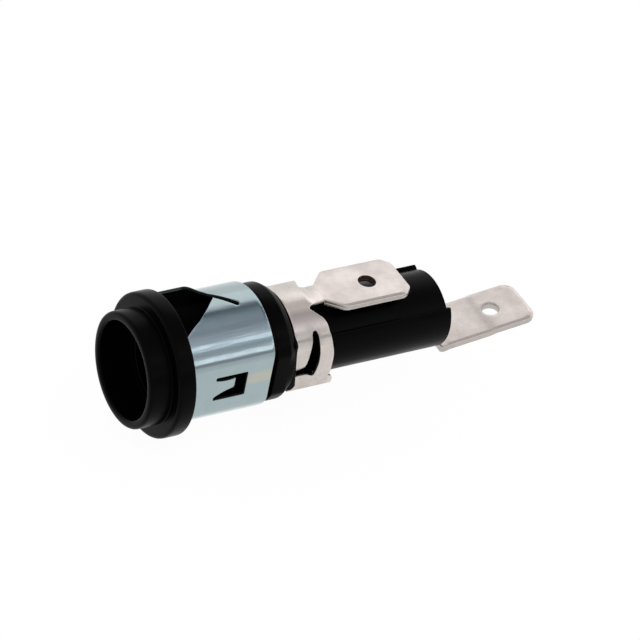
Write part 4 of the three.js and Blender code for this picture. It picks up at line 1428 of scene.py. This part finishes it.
@dataclass
class RearTerminal:
    """Tin-plated terminal: foot on the rear wall, bend, joggle and tilted blade."""

    face: float = 33.15
    thickness: float = 0.8
    top: float = 2.2
    foot_half: float = 1.9
    bend_half: float = 1.5
    eye_drop: float = 2.0
    shoulder: float = 34.15
    tilt: float = 6.8
    root_height: float = -3.92
    joggle: float = 0.12
    joggle_setback: float = 5.2
    joggle_length: float = 0.7
    end: float = 46.4
    bend_radius: float = 0.9
    eye_radius: float = 1.15
    foot_round: float = 0.5
    bevel_setback: float = 1.2
    blade: Blade = field(default_factory=lambda: Blade(corner=0.35, chamfer=0.85))

    def __post_init__(self) -> None:
        """Trace the middle of the sheet from the foot's top to the blade's end."""
        slope = math.tan(math.radians(self.tilt))
        half = self.thickness / 2

        def middle(x: float, low: float) -> tuple[float, float]:
            """Give the middle line's point at x."""
            return x, self.root_height + slope * (x - self.face) - low - half

        step_end = self.end - self.joggle_setback
        x0 = self.face + half
        corners = [(x0, self.top, 0.0), (*middle(x0, self.joggle), self.bend_radius),
                   (*middle(step_end - self.joggle_length, self.joggle), 0.3), (*middle(step_end, 0), 0.3),
                   (*middle(self.end, 0), 0.0)]
        line = rounded(corners, closed=False, steps=10)
        fine = [line[0]]
        for a, b in zip(line, line[1:]):
            count = max(1, math.ceil(np.linalg.norm(b - a) / 0.3))
            fine += [a + (b - a) * (i + 1) / count for i in range(count)]
        self.line = np.asarray(fine)
        steps = np.linalg.norm(np.diff(self.line, axis=0), axis=1)
        self.lengths = np.concatenate([[0.0], np.cumsum(steps)])

    def length_at_x(self, x: float) -> float:
        """Give the length along the middle line at x, past the bend."""
        return float(np.interp(x, self.line[1:, 0], self.lengths[1:]))

    def place(self, points: np.ndarray) -> np.ndarray:
        """Bend the flat pattern along the middle line; its upper face looks away from the holder."""
        u, y, w = points.T
        at = np.column_stack([np.interp(u, self.lengths, self.line[:, k]) for k in (0, 1)])
        step = 0.08
        ahead = np.column_stack([np.interp(u + step, self.lengths, self.line[:, k]) for k in (0, 1)])
        behind = np.column_stack([np.interp(u - step, self.lengths, self.line[:, k]) for k in (0, 1)])
        along = ahead - behind
        along /= np.linalg.norm(along, axis=1, keepdims=True)
        normal = np.column_stack([-along[:, 1], along[:, 0]])
        total = float(self.lengths[-1])
        pressed = self.blade.press(u, y, self.length_at_x(self.shoulder) + self.bevel_setback, total)
        bent = at + normal * (w - np.sign(w) * pressed)[:, None]
        return np.column_stack([bent[:, 0], -y, bent[:, 1]])

    def build(self) -> bpy.types.Object:
        """Build the rear terminal."""
        total = float(self.lengths[-1])
        eye_end = self.top + self.eye_drop
        wide = self.length_at_x(self.shoulder)
        foot, bend, r = self.foot_half, self.bend_half, self.foot_round
        near = [(0.0, -foot + r), (0.15, -foot + 0.15), (r, -foot), (eye_end - 0.3, -foot), (eye_end, -bend),
                (wide - 0.15, -bend - 0.05), (wide, -bend - 0.25), (wide, -self.blade.half_width + 0.2),
                (wide + 0.2, -self.blade.half_width)]
        outline = near + self.blade.end(total) + [(u, -v) for u, v in reversed(near)]
        turns = [i / 32 * 2 * math.pi for i in range(32)]
        eye = [(self.top + self.eye_radius * math.cos(a), self.eye_radius * math.sin(a)) for a in turns]
        creases = [self.blade.crease(wide + self.bevel_setback, total)]
        loops = [outline, self.blade.hole(total), eye]
        pattern = SheetPattern("rear_terminal_tin", loops, self.thickness, 0.1, 0.3, 0.3, creases)
        return settled(pattern.build(self.place, [TIN, TIN_EDGE, TIN, TIN_EDGE]),
                       Body.HOUSING, "tin", "rear_terminal")


@dataclass
class SpringContact:
    """Rivet through the rear wall, contact spring and sliding cup."""

    head_face: float = 31.55
    head_radius: float = 2.1
    shank_radius: float = 1.1
    wall_face: float = 32.05
    cap_face: float = 34.0
    cap_radius: float = 1.8
    cap_height: float = 0.55
    cup_face: float = 25.25
    cup_radius: float = 2.88
    cup_depth: float = 1.8
    cup_wall: float = 0.35
    face_thickness: float = 0.6
    dish: float = 0.15
    wire_radius: float = 0.25
    mean_radius: float = 1.85
    turns: float = 5.0
    spring_start: float = 25.95
    spring_end: float = 31.45
    stroke: float = 2.5
    coil_steps: int = 40
    wire_sides: int = 12

    def rivet(self) -> bpy.types.Object:
        """Build the rivet."""
        corners = [
            (self.head_face, 0.0, 0.0), (self.head_face, self.head_radius, 0.12),
            (self.wall_face, self.head_radius, 0.05), (self.wall_face, self.shank_radius, 0.05),
            (self.cap_face, self.shank_radius, 0.05), (self.cap_face, self.cap_radius, 0.08),
            (self.cap_face + self.cap_height * 0.45, self.cap_radius * 0.92, 0.2),
            (self.cap_face + self.cap_height, self.cap_radius * 0.5, 0.3),
            (self.cap_face + self.cap_height, 0.0, 0.0),
        ]
        return settled(lathe("terminal_rivet_brass", corners, BRASS), Body.HOUSING, "brass", "terminal_rivet")

    def cup(self) -> bpy.types.Object:
        """Build the sliding cup."""
        rear = self.cup_face + self.cup_depth
        inner = self.cup_radius - self.cup_wall
        corners = [
            (self.cup_face + self.dish, 0.0, 0.0), (self.cup_face + self.dish, 1.95, 0.1),
            (self.cup_face, 2.1, 0.1),
            (self.cup_face, self.cup_radius - self.dish, 0.08),
            (self.cup_face + self.dish, self.cup_radius, 0.08),
            (rear, self.cup_radius, 0.08), (rear, inner, 0.08),
            (self.cup_face + self.face_thickness, inner, 0.15),
            (self.cup_face + self.face_thickness, 0.0, 0.0),
        ]
        return settled(lathe("contact_cup_brass", corners, BRASS), Body.CONTACT, "brass", "contact_cup")

    def spring(self) -> bpy.types.Object:
        """Build the spring with geometry nodes."""
        tree = bpy.data.node_groups.new("wire_coil", "GeometryNodeTree")
        tree.interface.new_socket("Geometry", in_out="OUTPUT", socket_type="NodeSocketGeometry")
        sizes = {"Turns": self.turns, "Mean radius": self.mean_radius * MM,
                 "Wire radius": self.wire_radius * MM,
                 "Length": (self.spring_end - self.spring_start - 2 * self.wire_radius) * MM}
        for name in sizes:
            tree.interface.new_socket(name, in_out="INPUT", socket_type="NodeSocketFloat")
        made = Shader(tree)
        given = made.add("NodeGroupInput").outputs
        coil = made.add("GeometryNodeCurveSpiral", Resolution=self.coil_steps, Rotations=given["Turns"],
                        Start_Radius=given["Mean radius"], End_Radius=given["Mean radius"],
                        Height=given["Length"])
        wire = made.add("GeometryNodeCurvePrimitiveCircle", Resolution=self.wire_sides,
                        Radius=given["Wire radius"])
        tube = made.add("GeometryNodeCurveToMesh", Curve=coil.outputs[0], Profile_Curve=wire.outputs[0],
                        Fill_Caps=True)
        turned = made.add("GeometryNodeTransform", Geometry=tube.outputs[0], Rotation=(0, math.pi / 2, 0),
                          Translation=((self.spring_start + self.wire_radius) * MM, 0, 0))
        real = made.add("GeometryNodeRealizeInstances", Geometry=turned.outputs[0])
        painted = made.add("GeometryNodeSetMaterial", Geometry=real.outputs[0],
                           Material=SPRING_STEEL.material())
        made.add("NodeGroupOutput", Geometry=painted.outputs[0])
        holder = bpy.data.objects.new("contact_spring_wire", bpy.data.meshes.new("contact_spring_wire"))
        bpy.context.scene.collection.objects.link(holder)
        modifier = holder.modifiers.new("coil", "NODES")
        modifier.node_group = tree
        for item in tree.interface.items_tree:
            if item.item_type == "SOCKET" and item.in_out == "INPUT":
                modifier[item.identifier] = sizes[item.name]
        bpy.context.view_layer.update()
        mesh = bpy.data.meshes.new_from_object(holder.evaluated_get(bpy.context.evaluated_depsgraph_get()))
        holder.modifiers.remove(modifier)
        holder.data = mesh
        shade(holder, 60.0)
        piece = settled(holder, Body.HOUSING, "spring_steel", "contact_spring")
        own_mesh(piece)
        return piece

    def build(self) -> list[bpy.types.Object]:
        """Build the three inner pieces."""
        return [self.rivet(), self.spring(), self.cup()]


@dataclass
class Studio:
    """Pale floor, soft light, white surroundings and the camera."""

    floor_height: float = -7.96
    floor_size: float = 3000.0
    floor_glow: float = 1.02
    glow_share: float = 0.94
    camera_place: tuple[float, float, float] = (-209.67, -309.73, 297.44)
    camera_right: tuple[float, float, float] = (0.8617, -0.4801, 0.1643)
    camera_ahead: tuple[float, float, float] = (0.4713, 0.6372, -0.6097)
    lens: float = 253.125

    def floor(self) -> bpy.types.Object:
        """Make the floor, white to the camera and in reflections, with a soft shadow."""
        made = bpy.data.materials.new("pale_floor")
        made.use_nodes = True
        shader = Shader(made.node_tree)
        path = shader.add("ShaderNodeLightPath").outputs
        matt = shader.add("ShaderNodeBsdfDiffuse", Color=linear("f4f4f4"))
        glow = shader.add("ShaderNodeEmission", Color=(1, 1, 1, 1), Strength=self.floor_glow)
        seen = shader.math("MAXIMUM", path["Is Camera Ray"], path["Is Glossy Ray"])
        seen = shader.math("MAXIMUM", seen, path["Is Transmission Ray"])
        share = shader.math("MULTIPLY", seen, self.glow_share)
        both = shader.add("ShaderNodeMixShader", i0=share, i1=matt.outputs[0], i2=glow.outputs[0])
        shader.add("ShaderNodeOutputMaterial", Surface=both.outputs[0])
        half = self.floor_size / 2
        corners = [(-half, -half), (half, -half), (half, half), (-half, half)]
        data = bpy.data.meshes.new("studio_floor")
        data.from_pydata([(x * MM, y * MM, self.floor_height * MM) for x, y in corners], [], [[0, 1, 2, 3]])
        data.materials.append(made)
        floor = bpy.data.objects.new("studio_floor", data)
        bpy.context.scene.collection.objects.link(floor)
        return floor

    def surroundings(self) -> None:
        """Make the world: white to the camera, and soft bands of light for everything else."""
        world = bpy.data.worlds.new("soft_surroundings")
        bpy.context.scene.world = world
        world.use_nodes = True
        shader = Shader(world.node_tree)
        way = shader.add("ShaderNodeTexCoord").outputs["Generated"]
        parts = shader.add("ShaderNodeSeparateXYZ", Vector=way).outputs
        rise = shader.math("MAXIMUM", parts["Z"], 0.0)

        def grey(value: float) -> tuple[float, float, float, float]:
            """Give a grey level."""
            return (value, value, value, 1.0)

        back = shader.ramp(rise, [(0.0, grey(0.95)), (0.45, grey(1.12)), (0.7, grey(1.12)), (0.77, grey(0.5)),
                                  (0.83, grey(0.17)), (0.86, grey(0.2)), (0.9, grey(0.55)),
                                   (1.0, grey(0.62))])
        front = shader.ramp(rise, [(0.0, grey(0.7)), (0.22, grey(0.45)), (0.32, grey(0.6)), (0.37, grey(1.8)),
                                   (0.42, grey(1.75)), (0.47, grey(0.65)), (0.54, grey(0.55)),
                                    (0.66, grey(0.85)),
                                   (0.76, grey(0.9)), (0.83, grey(0.84)), (0.9, grey(0.82)),
                                    (1.0, grey(0.6))])
        ahead = Vector((self.camera_ahead[0], self.camera_ahead[1], 0)).normalized()
        facing = shader.add("ShaderNodeVectorMath", {"operation": "DOT_PRODUCT"}, i0=way, i1=tuple(ahead))
        side = shader.add("ShaderNodeMapRange", Value=facing.outputs["Value"],
                          i1=-0.25, i2=0.25, i3=0.0, i4=1.0)
        light = shader.mix(side.outputs[0], front, back)
        path = shader.add("ShaderNodeLightPath").outputs
        colour = shader.mix(path["Is Camera Ray"], light, (1, 1, 1, 1))
        out = shader.add("ShaderNodeBackground", Color=colour, Strength=1.0)
        shader.add("ShaderNodeOutputWorld", Surface=out.outputs[0])

    def lamp(self, name: str, place: tuple[float, float, float], size: tuple[float, float], radiance: float,
             along: tuple[float, float, float] = (1, 0, 0)) -> bpy.types.Object:
        """Add a white soft box that looks at the holder.

        Args:
            name: The lamp's name.
            place: Its place, in millimetres.
            size: Its width and height, in millimetres.
            radiance: How bright its face is.
            along: Roughly the way its width runs.

        Returns:
            The lamp's object.
        """
        data = bpy.data.lights.new(name, "AREA")
        data.shape = "RECTANGLE"
        data.size, data.size_y = size[0] * MM, size[1] * MM
        data.energy = radiance * math.pi * data.size * data.size_y
        made = bpy.data.objects.new(name, data)
        bpy.context.scene.collection.objects.link(made)
        here = Vector(place) * MM
        back = (here - Vector((20, 0, 0)) * MM).normalized()
        across = back.cross(Vector(along)).normalized()
        turn = Matrix((across.cross(back), across, back)).transposed().to_4x4()
        made.matrix_world = Matrix.Translation(here) @ turn
        return made

    def camera(self) -> bpy.types.Object:
        """Add the camera at the picture's viewing angle."""
        right, ahead = Vector(self.camera_right).normalized(), Vector(self.camera_ahead).normalized()
        up = right.cross(ahead).normalized()
        right = ahead.cross(up)
        turn = Matrix((right, up, -ahead)).transposed().to_4x4()
        data = bpy.data.cameras.new("picture_camera")
        data.sensor_width = 36.0
        data.lens = self.lens
        data.clip_start, data.clip_end = 0.01, 10.0
        made = bpy.data.objects.new("picture_camera", data)
        made.matrix_world = Matrix.Translation(Vector(self.camera_place) * MM) @ turn
        bpy.context.scene.collection.objects.link(made)
        bpy.context.scene.camera = made
        return made

    def build(self) -> None:
        """Set up the studio."""
        scene = bpy.context.scene
        scene.view_settings.view_transform = "Standard"
        self.camera()
        self.floor()
        self.surroundings()
        self.lamp("front_strip", (212, -264, 296), (420, 50), 0.95, (-0.88, -0.32, 0.34))
        self.lamp("back_box", (260, 330, 330), (500, 300), 0.15)


def main() -> None:
    """Build the holder piece by piece in its studio."""
    logging.basicConfig(level=logging.INFO, format="%(name)s: %(message)s")
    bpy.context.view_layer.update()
    clip, side, rear = MountingClip(), SideTerminal(), RearTerminal()
    Studio().build()
    HolderBody().build(clip, side)
    clip.build()
    side.build()
    rear.build()
    SpringContact().build()


if __name__ == "__main__":
    main()
